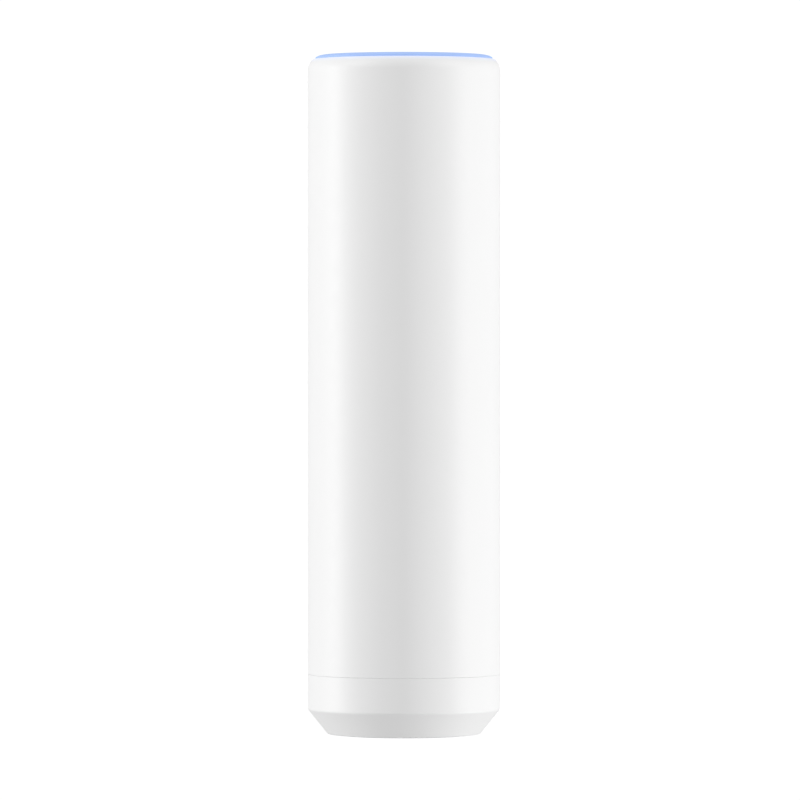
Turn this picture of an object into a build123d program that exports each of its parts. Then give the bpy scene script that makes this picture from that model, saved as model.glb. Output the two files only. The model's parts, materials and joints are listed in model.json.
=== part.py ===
from build123d import *
from math import cos, radians, sin, sqrt, tan
import os

# A mesh wifi node: a slim white cylinder that stands upright on a pull-off base, with a glowing
# ring round its top edge. The base hides a cable bay with the network socket and a reset button.
# Inside, a board is screwed to a finned heat sink, and a bracket above it carries six antennas.
# The frame is +Z up, with the origin on the axis at the surface that the node stands on.
# The front is -Y. The cable leaves at the back, +Y. All sizes are in millimetres.

# ---- Driving dimensions ------------------------------------------------------------------
OUTER_RADIUS = 23.75
TOTAL_HEIGHT = 167.7
SHELL_WALL = 1.75
SHOULDER_RADIUS = 4.0  # the rounding from the side up to the flat top
SEAM_HEIGHT = 14.93  # the parting line between the shell and the base
SEAM_GAP = 0.06
SEAM_SOFTENING = 0.1  # rounding of the two edges at the seam
EDGE_SOFTENING = 0.2

BASE_FLOOR_RADIUS = 18.85
CHAMFER_TOP = 6.25  # where the base's slanting foot meets its upright side
BASE_WALL = 2.0
FOOT_PROUD = 0.15

BAY_RADIUS = 19.2  # the cable bay's wall
BULKHEAD_HEIGHT = 38.0  # the bay's ceiling
BULKHEAD_THICKNESS = 2.0
NECK_RADIUS = 21.55  # what the base pushes onto
NECK_BOTTOM = 8.6

BOARD_WIDTH = 38.0
BOARD_BOTTOM = 41.5
BOARD_TOP = 122.0
BOARD_FRONT = -3.1  # the board stands in the XZ plane, between these two
BOARD_REAR = -1.5

FACET_RADIUS = 17.5  # from the axis to the antenna bracket's six flat faces
BRACKET_BOTTOM = 124.0
BRACKET_TOP = 158.2
LED_COUNT = 12
LED_CIRCLE = 20.05

FIT = 0.1  # the usual gap round a fitted piece
WIDE = 60.0  # wider than the node, to cut away everything on one side

# ---- Heights and radii worked out from those ---------------------------------------------
SHELL_BOTTOM = SEAM_HEIGHT + SEAM_GAP / 2
BASE_TOP = SEAM_HEIGHT - SEAM_GAP / 2
BORE_RADIUS = OUTER_RADIUS - SHELL_WALL
SHOULDER_CENTRE = OUTER_RADIUS - SHOULDER_RADIUS
SHOULDER_BASE = TOTAL_HEIGHT - SHOULDER_RADIUS
BULKHEAD_TOP = BULKHEAD_HEIGHT + BULKHEAD_THICKNESS

# Planes on the board's two faces and the mean plane of each antenna facet. Each has its Y along
# +Z of the node, so a height is a local y, and its normal points out of the face.
FRONT_FACE = Plane(origin=(0, BOARD_FRONT, 0), x_dir=(1, 0, 0), z_dir=(0, -1, 0))
REAR_FACE = Plane(origin=(0, BOARD_REAR, 0), x_dir=(-1, 0, 0), z_dir=(0, 1, 0))


def facet_plane(angle):
    """The plane on the bracket's outer face whose normal is at that angle from +X."""
    out = Vector(cos(radians(angle)), sin(radians(angle)), 0)
    along = Vector(-sin(radians(angle)), cos(radians(angle)), 0)
    return Plane(origin=out * FACET_RADIUS, x_dir=along, z_dir=out)


def shoulder_height(radius):
    """Height of the rounded shoulder at a distance from the axis."""
    return SHOULDER_BASE + sqrt(SHOULDER_RADIUS**2 - (radius - SHOULDER_CENTRE) ** 2)


def shoulder_arc(low_radius, high_radius):
    """The shoulder's outline between two radii, with its middle point, in the XZ plane."""
    middle = (low_radius + high_radius) / 2
    ends = [(r, shoulder_height(r)) for r in (low_radius, middle, high_radius)]
    return ThreePointArc(*ends)


def blocks(face, places, width, height, thickness, start=0.0, corner=0.0):
    """Equal rectangular blocks standing on a face at (x, y) places, one solid each."""
    with BuildPart() as made:
        with BuildSketch(face.offset(start)):
            with Locations(*places):
                if corner:
                    RectangleRounded(width, height, corner)
                else:
                    Rectangle(width, height)
        extrude(amount=thickness)
    return made.part


def pan_screws(places, shank_length, head_radius=1.9, head_height=1.3, shank_radius=0.95):
    """Pan-head screws. Each place is a plane under the head, with its normal out of the head."""
    slot_length, slot_width, slot_depth = head_radius * 1.1, 0.45, head_height * 0.6
    with BuildPart() as made:
        for place in places:
            with BuildSketch(place):
                Circle(head_radius)
            extrude(amount=head_height)
            with BuildSketch(place):
                Circle(shank_radius)
            extrude(amount=-shank_length)
        heads = made.edges().filter_by(GeomType.CIRCLE)
        crowns = [
            edge
            for edge in heads
            for place in places
            if abs(place.to_local_coords(edge.arc_center).Z - head_height) < 1e-4
            and abs(edge.radius - head_radius) < 1e-4
        ]
        fillet(crowns, head_height * 0.35)
        for place in places:
            with BuildSketch(place.offset(head_height)):
                Rectangle(slot_length, slot_width)
                Rectangle(slot_width, slot_length)
            extrude(amount=-slot_depth, mode=Mode.SUBTRACT)
    return made.part


def smooth_radii(points):
    """A bend radius for each inner point of a route: 0.45 of the shorter run beside it."""
    found = []
    spots = [Vector(*p) for p in points]
    for before, here, after in zip(spots, spots[1:], spots[2:]):
        turn = radians((here - before).get_angle(after - here))
        shorter = min((here - before).length, (after - here).length)
        found.append(0.45 * shorter / tan(turn / 2))
    return found


def save(piece, name):
    """Labels a finished piece and writes it as the node of that name."""
    piece.label = name
    export_step(piece, f"parts/{name}.step")


os.makedirs("parts", exist_ok=True)

# ==== Outer shell =========================================================================
# One moulded tube. Its top turns in over the shoulder to a narrow land round the light ring. A
# rebate at its bottom takes the port well's flange and a gasket, and the groove above that holds
# the well's snap beads.
LAND_RADIUS = 22.45  # where the shoulder stops short, at the land's outer edge
REBATE_RADIUS = 22.95
REBATE_TOP = SHELL_BOTTOM + 1.5
GROOVE_RADIUS, GROOVE_BOTTOM, GROOVE_TOP = 22.4, 19.3, 21.7  # the port well snaps in here

with BuildPart() as outer_shell:
    with BuildSketch(Plane.XZ):
        with BuildLine():
            shoulder_arc(OUTER_RADIUS, LAND_RADIUS)
            Polyline(
                (LAND_RADIUS, shoulder_height(LAND_RADIUS)),
                (BORE_RADIUS, shoulder_height(LAND_RADIUS)),
                (BORE_RADIUS, GROOVE_TOP),
                (GROOVE_RADIUS, GROOVE_TOP - (GROOVE_RADIUS - BORE_RADIUS)),
                (GROOVE_RADIUS, GROOVE_BOTTOM),
                (BORE_RADIUS, GROOVE_BOTTOM),
                (BORE_RADIUS, REBATE_TOP),
                (REBATE_RADIUS, REBATE_TOP),
                (REBATE_RADIUS, SHELL_BOTTOM),
                (OUTER_RADIUS, SHELL_BOTTOM),
                (OUTER_RADIUS, SHOULDER_BASE),
            )
        make_face()
    revolve(axis=Axis.Z)
    bottom_edges = outer_shell.edges().filter_by(GeomType.CIRCLE).group_by(Axis.Z)[0]
    fillet(bottom_edges.sort_by(SortBy.RADIUS)[-1], SEAM_SOFTENING)
save(outer_shell.part, "outer_shell")

# ==== Light ring ==========================================================================
# A frosted ring that carries the shoulder's curve on to the top. It drops in from above and sits
# on the baffle. The cap's rim holds it down by its inner ledge, and its leg pipes light up from
# the LEDs.
RING_OUTER = BORE_RADIUS - 0.15
RING_INNER = 19.0
RING_BEVEL = 0.25  # at the ring's inner top edge
RING_SEAT = 164.3
CAP_LEDGE_RADIUS, CAP_LEDGE_TOP = 18.3, 164.9
LEG_INNER, LEG_OUTER, LEG_BOTTOM = 19.4, 20.7, 161.8

with BuildPart() as light_ring:
    with BuildSketch(Plane.XZ):
        with BuildLine():
            shoulder_arc(RING_OUTER, SHOULDER_CENTRE)
            Polyline(
                (SHOULDER_CENTRE, TOTAL_HEIGHT),
                (RING_INNER + RING_BEVEL, TOTAL_HEIGHT),
                (RING_INNER, TOTAL_HEIGHT - RING_BEVEL),
                (RING_INNER, CAP_LEDGE_TOP),
                (CAP_LEDGE_RADIUS, CAP_LEDGE_TOP),
                (CAP_LEDGE_RADIUS, RING_SEAT),
                (LEG_INNER, RING_SEAT),
                (LEG_INNER, LEG_BOTTOM),
                (LEG_OUTER, LEG_BOTTOM),
                (LEG_OUTER, RING_SEAT),
                (RING_OUTER, RING_SEAT),
                (RING_OUTER, shoulder_height(RING_OUTER)),
            )
        make_face()
    revolve(axis=Axis.Z)
save(light_ring.part, "light_ring")

# ==== Top cap =============================================================================
# A plain disc inside the light ring, with a rim that sits on the ring's ledge. Three barbed arms
# snap under the light baffle's ledge.
CAP_RADIUS = RING_INNER - 0.15
CAP_TOP = TOTAL_HEIGHT - 0.25
CAP_UNDERSIDE = CAP_TOP - 1.6
ARM_INNER, ARM_OUTER, BARB_RADIUS = 16.2, 17.35, 17.9
ARM_BOTTOM, BARB_TOP = 159.7, 160.95
ARM_SPAN = 24.0
CAP_ARM_ANGLES = (60, 180, 300)

with BuildPart() as top_cap:
    with BuildSketch(Plane.XY.offset(CAP_UNDERSIDE)):
        Circle(CAP_RADIUS)
    extrude(amount=CAP_TOP - CAP_UNDERSIDE)
    with BuildSketch(Plane.XY.offset(CAP_LEDGE_TOP)):
        Circle(CAP_RADIUS)
        Circle(CAP_RADIUS - 1.25, mode=Mode.SUBTRACT)
    extrude(amount=CAP_UNDERSIDE - CAP_LEDGE_TOP)
    for angle in CAP_ARM_ANGLES:
        with BuildSketch(Plane.XZ.rotated((0, 0, angle - ARM_SPAN / 2))):
            with BuildLine():
                Polyline(
                    (ARM_INNER, CAP_UNDERSIDE + 0.2),
                    (ARM_INNER, ARM_BOTTOM),
                    (ARM_OUTER, ARM_BOTTOM),
                    (BARB_RADIUS, BARB_TOP - 0.3),
                    (BARB_RADIUS, BARB_TOP),
                    (ARM_OUTER, BARB_TOP),
                    (ARM_OUTER, CAP_UNDERSIDE + 0.2),
                    close=True,
                )
            make_face()
        revolve(axis=Axis.Z, revolution_arc=ARM_SPAN)
    rim = top_cap.edges().filter_by(GeomType.CIRCLE).group_by(Axis.Z)[-1]
    fillet(rim, 0.3)
save(top_cap.part, "top_cap")

# ==== Light baffle ========================================================================
# A white channel that keeps the light in the ring. The ring rests on its two walls, and three
# bars take the screws that come up through the LED board.
BAFFLE_TOP = RING_SEAT
LED_BOARD_BOTTOM, LED_BOARD_TOP = BRACKET_TOP, BRACKET_TOP + 1.2
SKIRT_BOTTOM = 157.0
INNER_WALL_IN, INNER_WALL_OUT = 18.2, 19.2
OUTER_WALL_IN, OUTER_WALL_OUT = 20.9, RING_OUTER
SKIRT_IN = 21.3
LEDGE_RADIUS, LEDGE_BOTTOM, LEDGE_TOP = 17.6, 161.1, 162.0
CHANNEL_FLOOR, CHANNEL_FLOOR_TOP = 160.9, 161.6
CROWN_SCREW_CIRCLE = 14.6
CROWN_SCREW_ANGLES = (0, 120, 240)
CROWN_PILOT, CROWN_BOARD_HOLE, CROWN_DECK_HOLE = 0.9, 1.1, 1.0  # radii
BAR_WIDTH, BAR_INNER = 5.0, 12.8
LED_LENGTH, LED_DEPTH, LED_HEIGHT = 2.8, 1.6, 0.8

with BuildPart() as light_baffle:
    with BuildSketch(Plane.XZ):
        with BuildLine():
            Polyline(
                (LEDGE_RADIUS, LEDGE_BOTTOM),
                (INNER_WALL_IN, LEDGE_BOTTOM),
                (INNER_WALL_IN, LED_BOARD_TOP),
                (INNER_WALL_OUT, LED_BOARD_TOP),
                (INNER_WALL_OUT, CHANNEL_FLOOR),
                (OUTER_WALL_IN, CHANNEL_FLOOR),
                (OUTER_WALL_IN, LED_BOARD_TOP),
                (SKIRT_IN, LED_BOARD_TOP),
                (SKIRT_IN, SKIRT_BOTTOM),
                (OUTER_WALL_OUT, SKIRT_BOTTOM),
                (OUTER_WALL_OUT, BAFFLE_TOP),
                (OUTER_WALL_IN, BAFFLE_TOP),
                (OUTER_WALL_IN, CHANNEL_FLOOR_TOP),
                (INNER_WALL_OUT, CHANNEL_FLOOR_TOP),
                (INNER_WALL_OUT, BAFFLE_TOP),
                (INNER_WALL_IN, BAFFLE_TOP),
                (INNER_WALL_IN, LEDGE_TOP),
                (LEDGE_RADIUS, LEDGE_TOP),
                close=True,
            )
        make_face()
    revolve(axis=Axis.Z)
    bar_length = INNER_WALL_IN + 0.3 - BAR_INNER
    with BuildSketch(Plane.XY.offset(LED_BOARD_TOP)):
        for angle in CROWN_SCREW_ANGLES:
            with PolarLocations(BAR_INNER + bar_length / 2, 1, start_angle=angle):
                Rectangle(bar_length, BAR_WIDTH)
    extrude(amount=LEDGE_TOP - LED_BOARD_TOP)
    with BuildSketch(Plane.XY.offset(LED_BOARD_TOP)):
        for angle in CROWN_SCREW_ANGLES:
            with PolarLocations(CROWN_SCREW_CIRCLE, 1, start_angle=angle):
                Circle(CROWN_PILOT)
    extrude(amount=LEDGE_TOP - LED_BOARD_TOP, mode=Mode.SUBTRACT)
    # A window over each LED.
    with BuildSketch(Plane.XY.offset(CHANNEL_FLOOR - 0.1)):
        with PolarLocations(LED_CIRCLE, LED_COUNT, start_angle=15):
            Rectangle(OUTER_WALL_IN - INNER_WALL_OUT, LED_LENGTH + 0.4)
    extrude(amount=CHANNEL_FLOOR_TOP - CHANNEL_FLOOR + 0.2, mode=Mode.SUBTRACT)
save(light_baffle.part, "light_baffle")

# ==== LED board, its LEDs, and the flex that feeds it =====================================
TAB_WIDTH, TAB_TIP, TAB_ROOT = 8.0, -7.8, -14.0
LED_BOARD_INNER, LED_BOARD_OUTER = 12.8, 21.2

with BuildPart() as led_board:
    with BuildSketch(Plane.XY.offset(LED_BOARD_BOTTOM)):
        Circle(LED_BOARD_OUTER)
        Circle(LED_BOARD_INNER, mode=Mode.SUBTRACT)
        with Locations((0, (TAB_TIP + TAB_ROOT) / 2)):
            Rectangle(TAB_WIDTH, TAB_TIP - TAB_ROOT)
        for angle in CROWN_SCREW_ANGLES:
            with PolarLocations(CROWN_SCREW_CIRCLE, 1, start_angle=angle):
                Circle(CROWN_BOARD_HOLE, mode=Mode.SUBTRACT)
    extrude(amount=LED_BOARD_TOP - LED_BOARD_BOTTOM)
save(led_board.part, "led_board")

with BuildPart() as leds:
    with BuildSketch(Plane.XY.offset(LED_BOARD_TOP)):
        with PolarLocations(LED_CIRCLE, LED_COUNT, start_angle=15):
            Rectangle(LED_DEPTH, LED_LENGTH)
    extrude(amount=LED_HEIGHT)
save(leds.part, "leds")

LED_PLUG_WIDTH, LED_PLUG_HEIGHT = 7.0, 1.5
LED_PLUG_FRONT, LED_PLUG_BACK = -11.4, -8.6
with BuildPart() as led_connector:
    with BuildSketch(Plane.XY.offset(LED_BOARD_BOTTOM)):
        with Locations((0, (LED_PLUG_FRONT + LED_PLUG_BACK) / 2)):
            Rectangle(LED_PLUG_WIDTH, LED_PLUG_BACK - LED_PLUG_FRONT)
    extrude(amount=-LED_PLUG_HEIGHT)
    chamfer(led_connector.faces().sort_by(Axis.Z)[0].edges(), 0.3)
save(led_connector.part, "led_connector")

FLEX_WIDTH, FLEX_THICKNESS = 5.0, 0.25
FLEX_PLANE = BOARD_FRONT - 1.1
FLEX_START = 121.0
FLEX_END_HEIGHT = LED_BOARD_BOTTOM - LED_PLUG_HEIGHT / 2
with BuildPart() as led_flex_cable:
    with BuildSketch(Plane.YZ):
        with BuildLine():
            FilletPolyline(
                (FLEX_PLANE, FLEX_START),
                (FLEX_PLANE, FLEX_END_HEIGHT),
                (LED_PLUG_BACK, FLEX_END_HEIGHT),
                radius=3.2,
            )
        trace(line_width=FLEX_THICKNESS)
    extrude(amount=FLEX_WIDTH / 2, both=True)
save(led_flex_cable.part, "led_flex_cable")

crown_screw_planes = [
    Plane(
        origin=(
            CROWN_SCREW_CIRCLE * cos(radians(angle)),
            CROWN_SCREW_CIRCLE * sin(radians(angle)),
            BRACKET_TOP - 1.6,
        ),
        z_dir=(0, 0, -1),
    )
    for angle in CROWN_SCREW_ANGLES
]
crown_screws = pan_screws(crown_screw_planes, 5.0, 1.6, 1.1, 0.8)
save(crown_screws, "crown_screws")

# ==== Antenna bracket =====================================================================
# A six-sided tube between two decks. Each facet has a window and two pins for its antenna. The
# lower deck is closed behind, for the screws, and open in front, for the cables.
FACET_ANGLES = (30, 90, 150, 210, 270, 330)
BRACKET_WALL = 1.5
DECK_THICKNESS = 2.0
TOP_DECK_THICKNESS = 1.6
LOWER_DECK_RADIUS = 20.8
TOP_DECK_OPENING = 12.5
BRACKET_SCREWS = ((-10.5, 7.0), (10.5, 7.0))
BRACKET_SCREW_HOLE = 1.25
PIN_HEIGHTS = (129.2, 150.8)
PIN_RADIUS, RIVET_RADIUS = 0.6, 1.1
WINDOW_WIDTH, WINDOW_HEIGHT, WINDOW_MIDDLE = 5.0, 15.0, 140.0
ANTENNA_THICKNESS = 0.4
CABLE_OPENING_BACK = 2.0

with BuildPart() as antenna_bracket:
    with BuildSketch(Plane.XY.offset(BRACKET_BOTTOM)):
        RegularPolygon(FACET_RADIUS, 6, major_radius=False)
        RegularPolygon(FACET_RADIUS - BRACKET_WALL, 6, major_radius=False, mode=Mode.SUBTRACT)
    extrude(amount=BRACKET_TOP - BRACKET_BOTTOM)
    with BuildSketch(Plane.XY.offset(BRACKET_BOTTOM)):
        Circle(LOWER_DECK_RADIUS)
    extrude(amount=DECK_THICKNESS)
    with BuildSketch(Plane.XY.offset(BRACKET_BOTTOM - 1)):
        RegularPolygon(FACET_RADIUS - BRACKET_WALL, 6, major_radius=False)
        with Locations((0, CABLE_OPENING_BACK + WIDE / 2)):
            Rectangle(WIDE, WIDE, mode=Mode.SUBTRACT)
    extrude(amount=DECK_THICKNESS + 2, mode=Mode.SUBTRACT)
    with BuildSketch(Plane.XY.offset(BRACKET_TOP - TOP_DECK_THICKNESS)):
        Circle(LED_BOARD_OUTER - 0.1)
        Circle(TOP_DECK_OPENING, mode=Mode.SUBTRACT)
    extrude(amount=TOP_DECK_THICKNESS)
    with BuildSketch(Plane.XY.offset(BRACKET_TOP)):
        for angle in CROWN_SCREW_ANGLES:
            with PolarLocations(CROWN_SCREW_CIRCLE, 1, start_angle=angle):
                Circle(CROWN_DECK_HOLE)
    extrude(amount=-TOP_DECK_THICKNESS, mode=Mode.SUBTRACT)
    with BuildSketch(Plane.XY.offset(BRACKET_BOTTOM)):
        with Locations(*BRACKET_SCREWS):
            Circle(BRACKET_SCREW_HOLE)
    extrude(amount=DECK_THICKNESS, mode=Mode.SUBTRACT)
    for angle in FACET_ANGLES:
        facet = facet_plane(angle)
        with BuildSketch(facet.offset(0.5)):
            with Locations((0, WINDOW_MIDDLE)):
                RectangleRounded(WINDOW_WIDTH, WINDOW_HEIGHT, 1.0)
        extrude(amount=-BRACKET_WALL - 1, mode=Mode.SUBTRACT)
        with BuildSketch(facet):
            with Locations(*[(0, height) for height in PIN_HEIGHTS]):
                Circle(PIN_RADIUS)
        extrude(amount=ANTENNA_THICKNESS + 0.05)
        with BuildSketch(facet.offset(ANTENNA_THICKNESS + 0.05)):
            with Locations(*[(0, height) for height in PIN_HEIGHTS]):
                Circle(RIVET_RADIUS)
        extrude(amount=0.35)
save(antenna_bracket.part, "antenna_bracket")

bracket_screw_planes = [
    Plane(origin=(x, y, BRACKET_BOTTOM + DECK_THICKNESS), z_dir=(0, 0, 1))
    for x, y in BRACKET_SCREWS
]
save(pan_screws(bracket_screw_planes, 9.0), "bracket_screws")

# ==== Antennas ============================================================================
# Stamped plates on the facets. The front and back ones are for 2.4 GHz, with slots from
# alternate sides. The other four are for 5 GHz, with a tongue cut free on three sides.
ANTENNA_MIDDLE = 140.0
FACETS_2GHZ = (90, 270)
FACETS_5GHZ = (30, 150, 210, 330)


def pin_holes():
    """Cuts the two pin holes in the antenna that is being sketched."""
    with Locations(*[(0, height) for height in PIN_HEIGHTS]):
        Circle(PIN_RADIUS + FIT, mode=Mode.SUBTRACT)


for number, angle in enumerate(FACETS_5GHZ, start=1):
    tongue_width, tongue_top, tongue_foot, slot = 6.4, 148.0, 137.0, 0.9
    with BuildPart() as antenna_5ghz:
        with BuildSketch(facet_plane(angle)):
            with Locations((0, ANTENNA_MIDDLE)):
                RectangleRounded(12.0, 25.0, 1.0)
            with Locations(
                (-tongue_width / 2, (tongue_top + tongue_foot) / 2),
                (tongue_width / 2, (tongue_top + tongue_foot) / 2),
            ):
                Rectangle(slot, tongue_top - tongue_foot, mode=Mode.SUBTRACT)
            with Locations((0, tongue_foot)):
                Rectangle(tongue_width + slot, slot, mode=Mode.SUBTRACT)
            with Locations((-6, 132.5), (6, 132.5)):
                Rectangle(3.0, 2.0, mode=Mode.SUBTRACT)
            pin_holes()
        extrude(amount=ANTENNA_THICKNESS)
    save(antenna_5ghz.part, f"antenna_5ghz_{number}")

for number, angle in enumerate(FACETS_2GHZ, start=1):
    slot_length, slot_side = 11.0, 1
    with BuildPart() as antenna_2ghz:
        with BuildSketch(facet_plane(angle)):
            with Locations((0, ANTENNA_MIDDLE)):
                RectangleRounded(15.0, 27.0, 1.0)
            for height in (137.0, 140.0, 143.0, 146.0):
                with Locations((slot_side * 2.5, height)):
                    Rectangle(slot_length, 1.1, mode=Mode.SUBTRACT)
                slot_side = -slot_side
            pin_holes()
        extrude(amount=ANTENNA_THICKNESS)
    save(antenna_2ghz.part, f"antenna_2ghz_{number}")

# ==== Coaxial leads =======================================================================
# Each runs from its antenna's back, through the facet's window, down inside the bracket and out
# through the open front of the lower deck to a plug in the row across the board.
COAX_RADIUS = 0.565
COAX_ROW_HEIGHT = 109.5
COAX_FEED_HEIGHT = 135.0
COAX_TURN_RADIUS = 10.5  # how far from the axis a lead turns towards the board
COAX_ENTRY_HEIGHT = 127.5
SOCKET_SIZE, SOCKET_THICKNESS = 2.6, 0.4
PLUG_RADIUS, PLUG_THICKNESS, PLUG_BARREL, PLUG_BARREL_WIDTH = 1.3, 1.2, 2.6, 1.5
COAX_LINE = BOARD_FRONT - SOCKET_THICKNESS - PLUG_THICKNESS / 2
COAX_PLACES = {30: 13.0, 330: 9.0, 270: 5.0, 90: -5.0, 210: -9.0, 150: -13.0}

for number, (angle, across) in enumerate(COAX_PLACES.items(), start=1):
    out = Vector(cos(radians(angle)), sin(radians(angle)), 0)
    feed = out * FACET_RADIUS
    turn = out * COAX_TURN_RADIUS
    route = [
        (feed.X, feed.Y, COAX_FEED_HEIGHT),
        (turn.X, turn.Y, COAX_FEED_HEIGHT),
        (across, COAX_LINE, COAX_ENTRY_HEIGHT),
        (across, COAX_LINE, COAX_ROW_HEIGHT + PLUG_BARREL),
    ]
    with BuildPart() as antenna_cable:
        with BuildLine() as path:
            FilletPolyline(*route, radius=smooth_radii(route))
        with BuildSketch(path.line ^ 0):
            Circle(COAX_RADIUS)
        sweep()
    save(antenna_cable.part, f"antenna_cable_{number}")

coax_spots = [(across, COAX_ROW_HEIGHT) for across in sorted(COAX_PLACES.values())]
with BuildPart() as coax_sockets:
    with BuildSketch(FRONT_FACE):
        with Locations(*coax_spots):
            RectangleRounded(SOCKET_SIZE, SOCKET_SIZE, 0.3)
    extrude(amount=SOCKET_THICKNESS)
save(coax_sockets.part, "coax_sockets")

with BuildPart() as coax_plugs:
    with BuildSketch(FRONT_FACE.offset(SOCKET_THICKNESS)):
        with Locations(*coax_spots):
            Circle(PLUG_RADIUS)
        with Locations(*[(x, z + PLUG_BARREL / 2) for x, z in coax_spots]):
            Rectangle(PLUG_BARREL_WIDTH, PLUG_BARREL)
    extrude(amount=PLUG_THICKNESS)
save(coax_plugs.part, "coax_plugs")

# ==== Main board ==========================================================================
BOARD_SCREWS = ((-16.5, 50.0), (16.5, 50.0), (-16.5, 117.0), (16.5, 117.0))
BOARD_SCREW_HOLE = 1.15
with BuildPart() as main_board:
    with BuildSketch(FRONT_FACE):
        with Locations((0, (BOARD_BOTTOM + BOARD_TOP) / 2)):
            RectangleRounded(BOARD_WIDTH, BOARD_TOP - BOARD_BOTTOM, 1.5)
        with Locations(*BOARD_SCREWS):
            Circle(BOARD_SCREW_HOLE, mode=Mode.SUBTRACT)
    extrude(amount=BOARD_FRONT - BOARD_REAR)
save(main_board.part, "main_board")

board_screw_planes = [
    Plane(origin=(x, BOARD_FRONT, z), z_dir=(0, -1, 0)) for x, z in BOARD_SCREWS
]
save(pan_screws(board_screw_planes, 5.6), "board_screws")

# ---- Chips on the rear, which face the heat sink through soft pads ------------------------
# Each is (across, height, width, length, thickness), with across seen from behind.
SINK_FACE = 0.5
REAR_GAP = SINK_FACE - BOARD_REAR
PROCESSOR = (0.0, 80.0, 17.0, 17.0, 1.3)
MEMORY = (0.0, 99.0, 9.0, 13.0, 1.0)
RADIO_5GHZ = (11.5, 103.0, 10.0, 10.0, 1.0)
RADIO_2GHZ = (-11.5, 103.0, 9.0, 9.0, 0.9)
FLASH = (11.0, 62.0, 6.0, 8.0, 1.0)
POWER_CONTROLLER = (-9.0, 61.0, 6.0, 6.0, 0.9)
PIN_MARK_RADIUS, PIN_MARK_DEPTH = 0.35, 0.12


def chip(across, height, width, length, thickness):
    """A chip package with a pin-1 dimple, on the board's rear."""
    with BuildPart() as made:
        with BuildSketch(REAR_FACE):
            with Locations((across, height)):
                Rectangle(width, length)
        extrude(amount=thickness)
        with BuildSketch(REAR_FACE.offset(thickness)):
            with Locations((across - width / 2 + 1.0, height + length / 2 - 1.0)):
                Circle(PIN_MARK_RADIUS)
        extrude(amount=-PIN_MARK_DEPTH, mode=Mode.SUBTRACT)
    return made.part


save(chip(*PROCESSOR), "processor")
save(chip(*MEMORY), "memory_chip")
save(chip(*RADIO_5GHZ), "radio_chip_5ghz")
save(chip(*RADIO_2GHZ), "radio_chip_2ghz")
save(chip(*FLASH), "flash_chip")
save(chip(*POWER_CONTROLLER), "power_controller")

with BuildPart() as thermal_pads:
    for across, height, width, length, thickness in (PROCESSOR, MEMORY, RADIO_5GHZ, RADIO_2GHZ):
        with BuildSketch(REAR_FACE.offset(thickness)):
            with Locations((across, height)):
                RectangleRounded(width - 1.0, length - 1.0, 0.5)
        extrude(amount=REAR_GAP - thickness)
save(thermal_pads.part, "thermal_pads")

# ---- Parts on the front ------------------------------------------------------------------
# Screening cans over the radio front ends, with vent holes, and the amplifiers under them.
CAN_HEIGHT, CAN_WALL, CAN_LENGTH, CAN_MIDDLE = 2.6, 0.25, 15.5, 97.25
CAN_HOLE_RADIUS, CAN_HOLE_PITCH = 0.55, 3.0


def shield_can(across, width, holes_across):
    """A stamped can, open towards the board, with a grid of vent holes."""
    with BuildPart() as made:
        with BuildSketch(FRONT_FACE):
            with Locations((across, CAN_MIDDLE)):
                RectangleRounded(width, CAN_LENGTH, 0.8)
        extrude(amount=CAN_HEIGHT)
        with BuildSketch(FRONT_FACE):
            with Locations((across, CAN_MIDDLE)):
                RectangleRounded(width - 2 * CAN_WALL, CAN_LENGTH - 2 * CAN_WALL, 0.6)
        extrude(amount=CAN_HEIGHT - CAN_WALL, mode=Mode.SUBTRACT)
        with BuildSketch(FRONT_FACE.offset(CAN_HEIGHT)):
            with Locations((across, CAN_MIDDLE)):
                with GridLocations(CAN_HOLE_PITCH, CAN_HOLE_PITCH, holes_across, 4):
                    Circle(CAN_HOLE_RADIUS)
        extrude(amount=-CAN_WALL - 0.1, mode=Mode.SUBTRACT)
    return made.part


save(shield_can(-7.0, 20.0, 6), "shield_can_5ghz")
save(shield_can(11.0, 12.0, 3), "shield_can_2ghz")
AMPLIFIERS = [(x, z) for x in (-12.5, -1.5) for z in (93.5, 101.0)]
AMPLIFIERS += [(8.5, 93.5), (13.5, 101.0)]
save(blocks(FRONT_FACE, AMPLIFIERS, 3.0, 3.0, 0.8), "amplifier_chips")

# The network transformer, a moulded block with a row of leads on each side.
MAGNETICS_X, MAGNETICS_Z, MAGNETICS_SIZE, MAGNETICS_HEIGHT = -9.5, 68.5, 12.0, 5.4
LEAD_LENGTH, LEAD_WIDTH, LEAD_HEIGHT, LEAD_PITCH, LEAD_COUNT = 1.2, 0.5, 1.2, 1.27, 10
with BuildPart() as network_transformer:
    with BuildSketch(FRONT_FACE.offset(0.3)):
        with Locations((MAGNETICS_X, MAGNETICS_Z)):
            Rectangle(MAGNETICS_SIZE - 2 * LEAD_LENGTH, MAGNETICS_SIZE + 1.5)
    extrude(amount=MAGNETICS_HEIGHT)
    chamfer(network_transformer.faces().sort_by(Axis.Y)[0].edges(), 0.4)
    with BuildSketch(FRONT_FACE):
        with Locations((MAGNETICS_X, MAGNETICS_Z)):
            with GridLocations(MAGNETICS_SIZE - LEAD_LENGTH, LEAD_PITCH, 2, LEAD_COUNT):
                Rectangle(LEAD_LENGTH, LEAD_WIDTH)
    extrude(amount=LEAD_HEIGHT)
save(network_transformer.part, "network_transformer")

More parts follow.
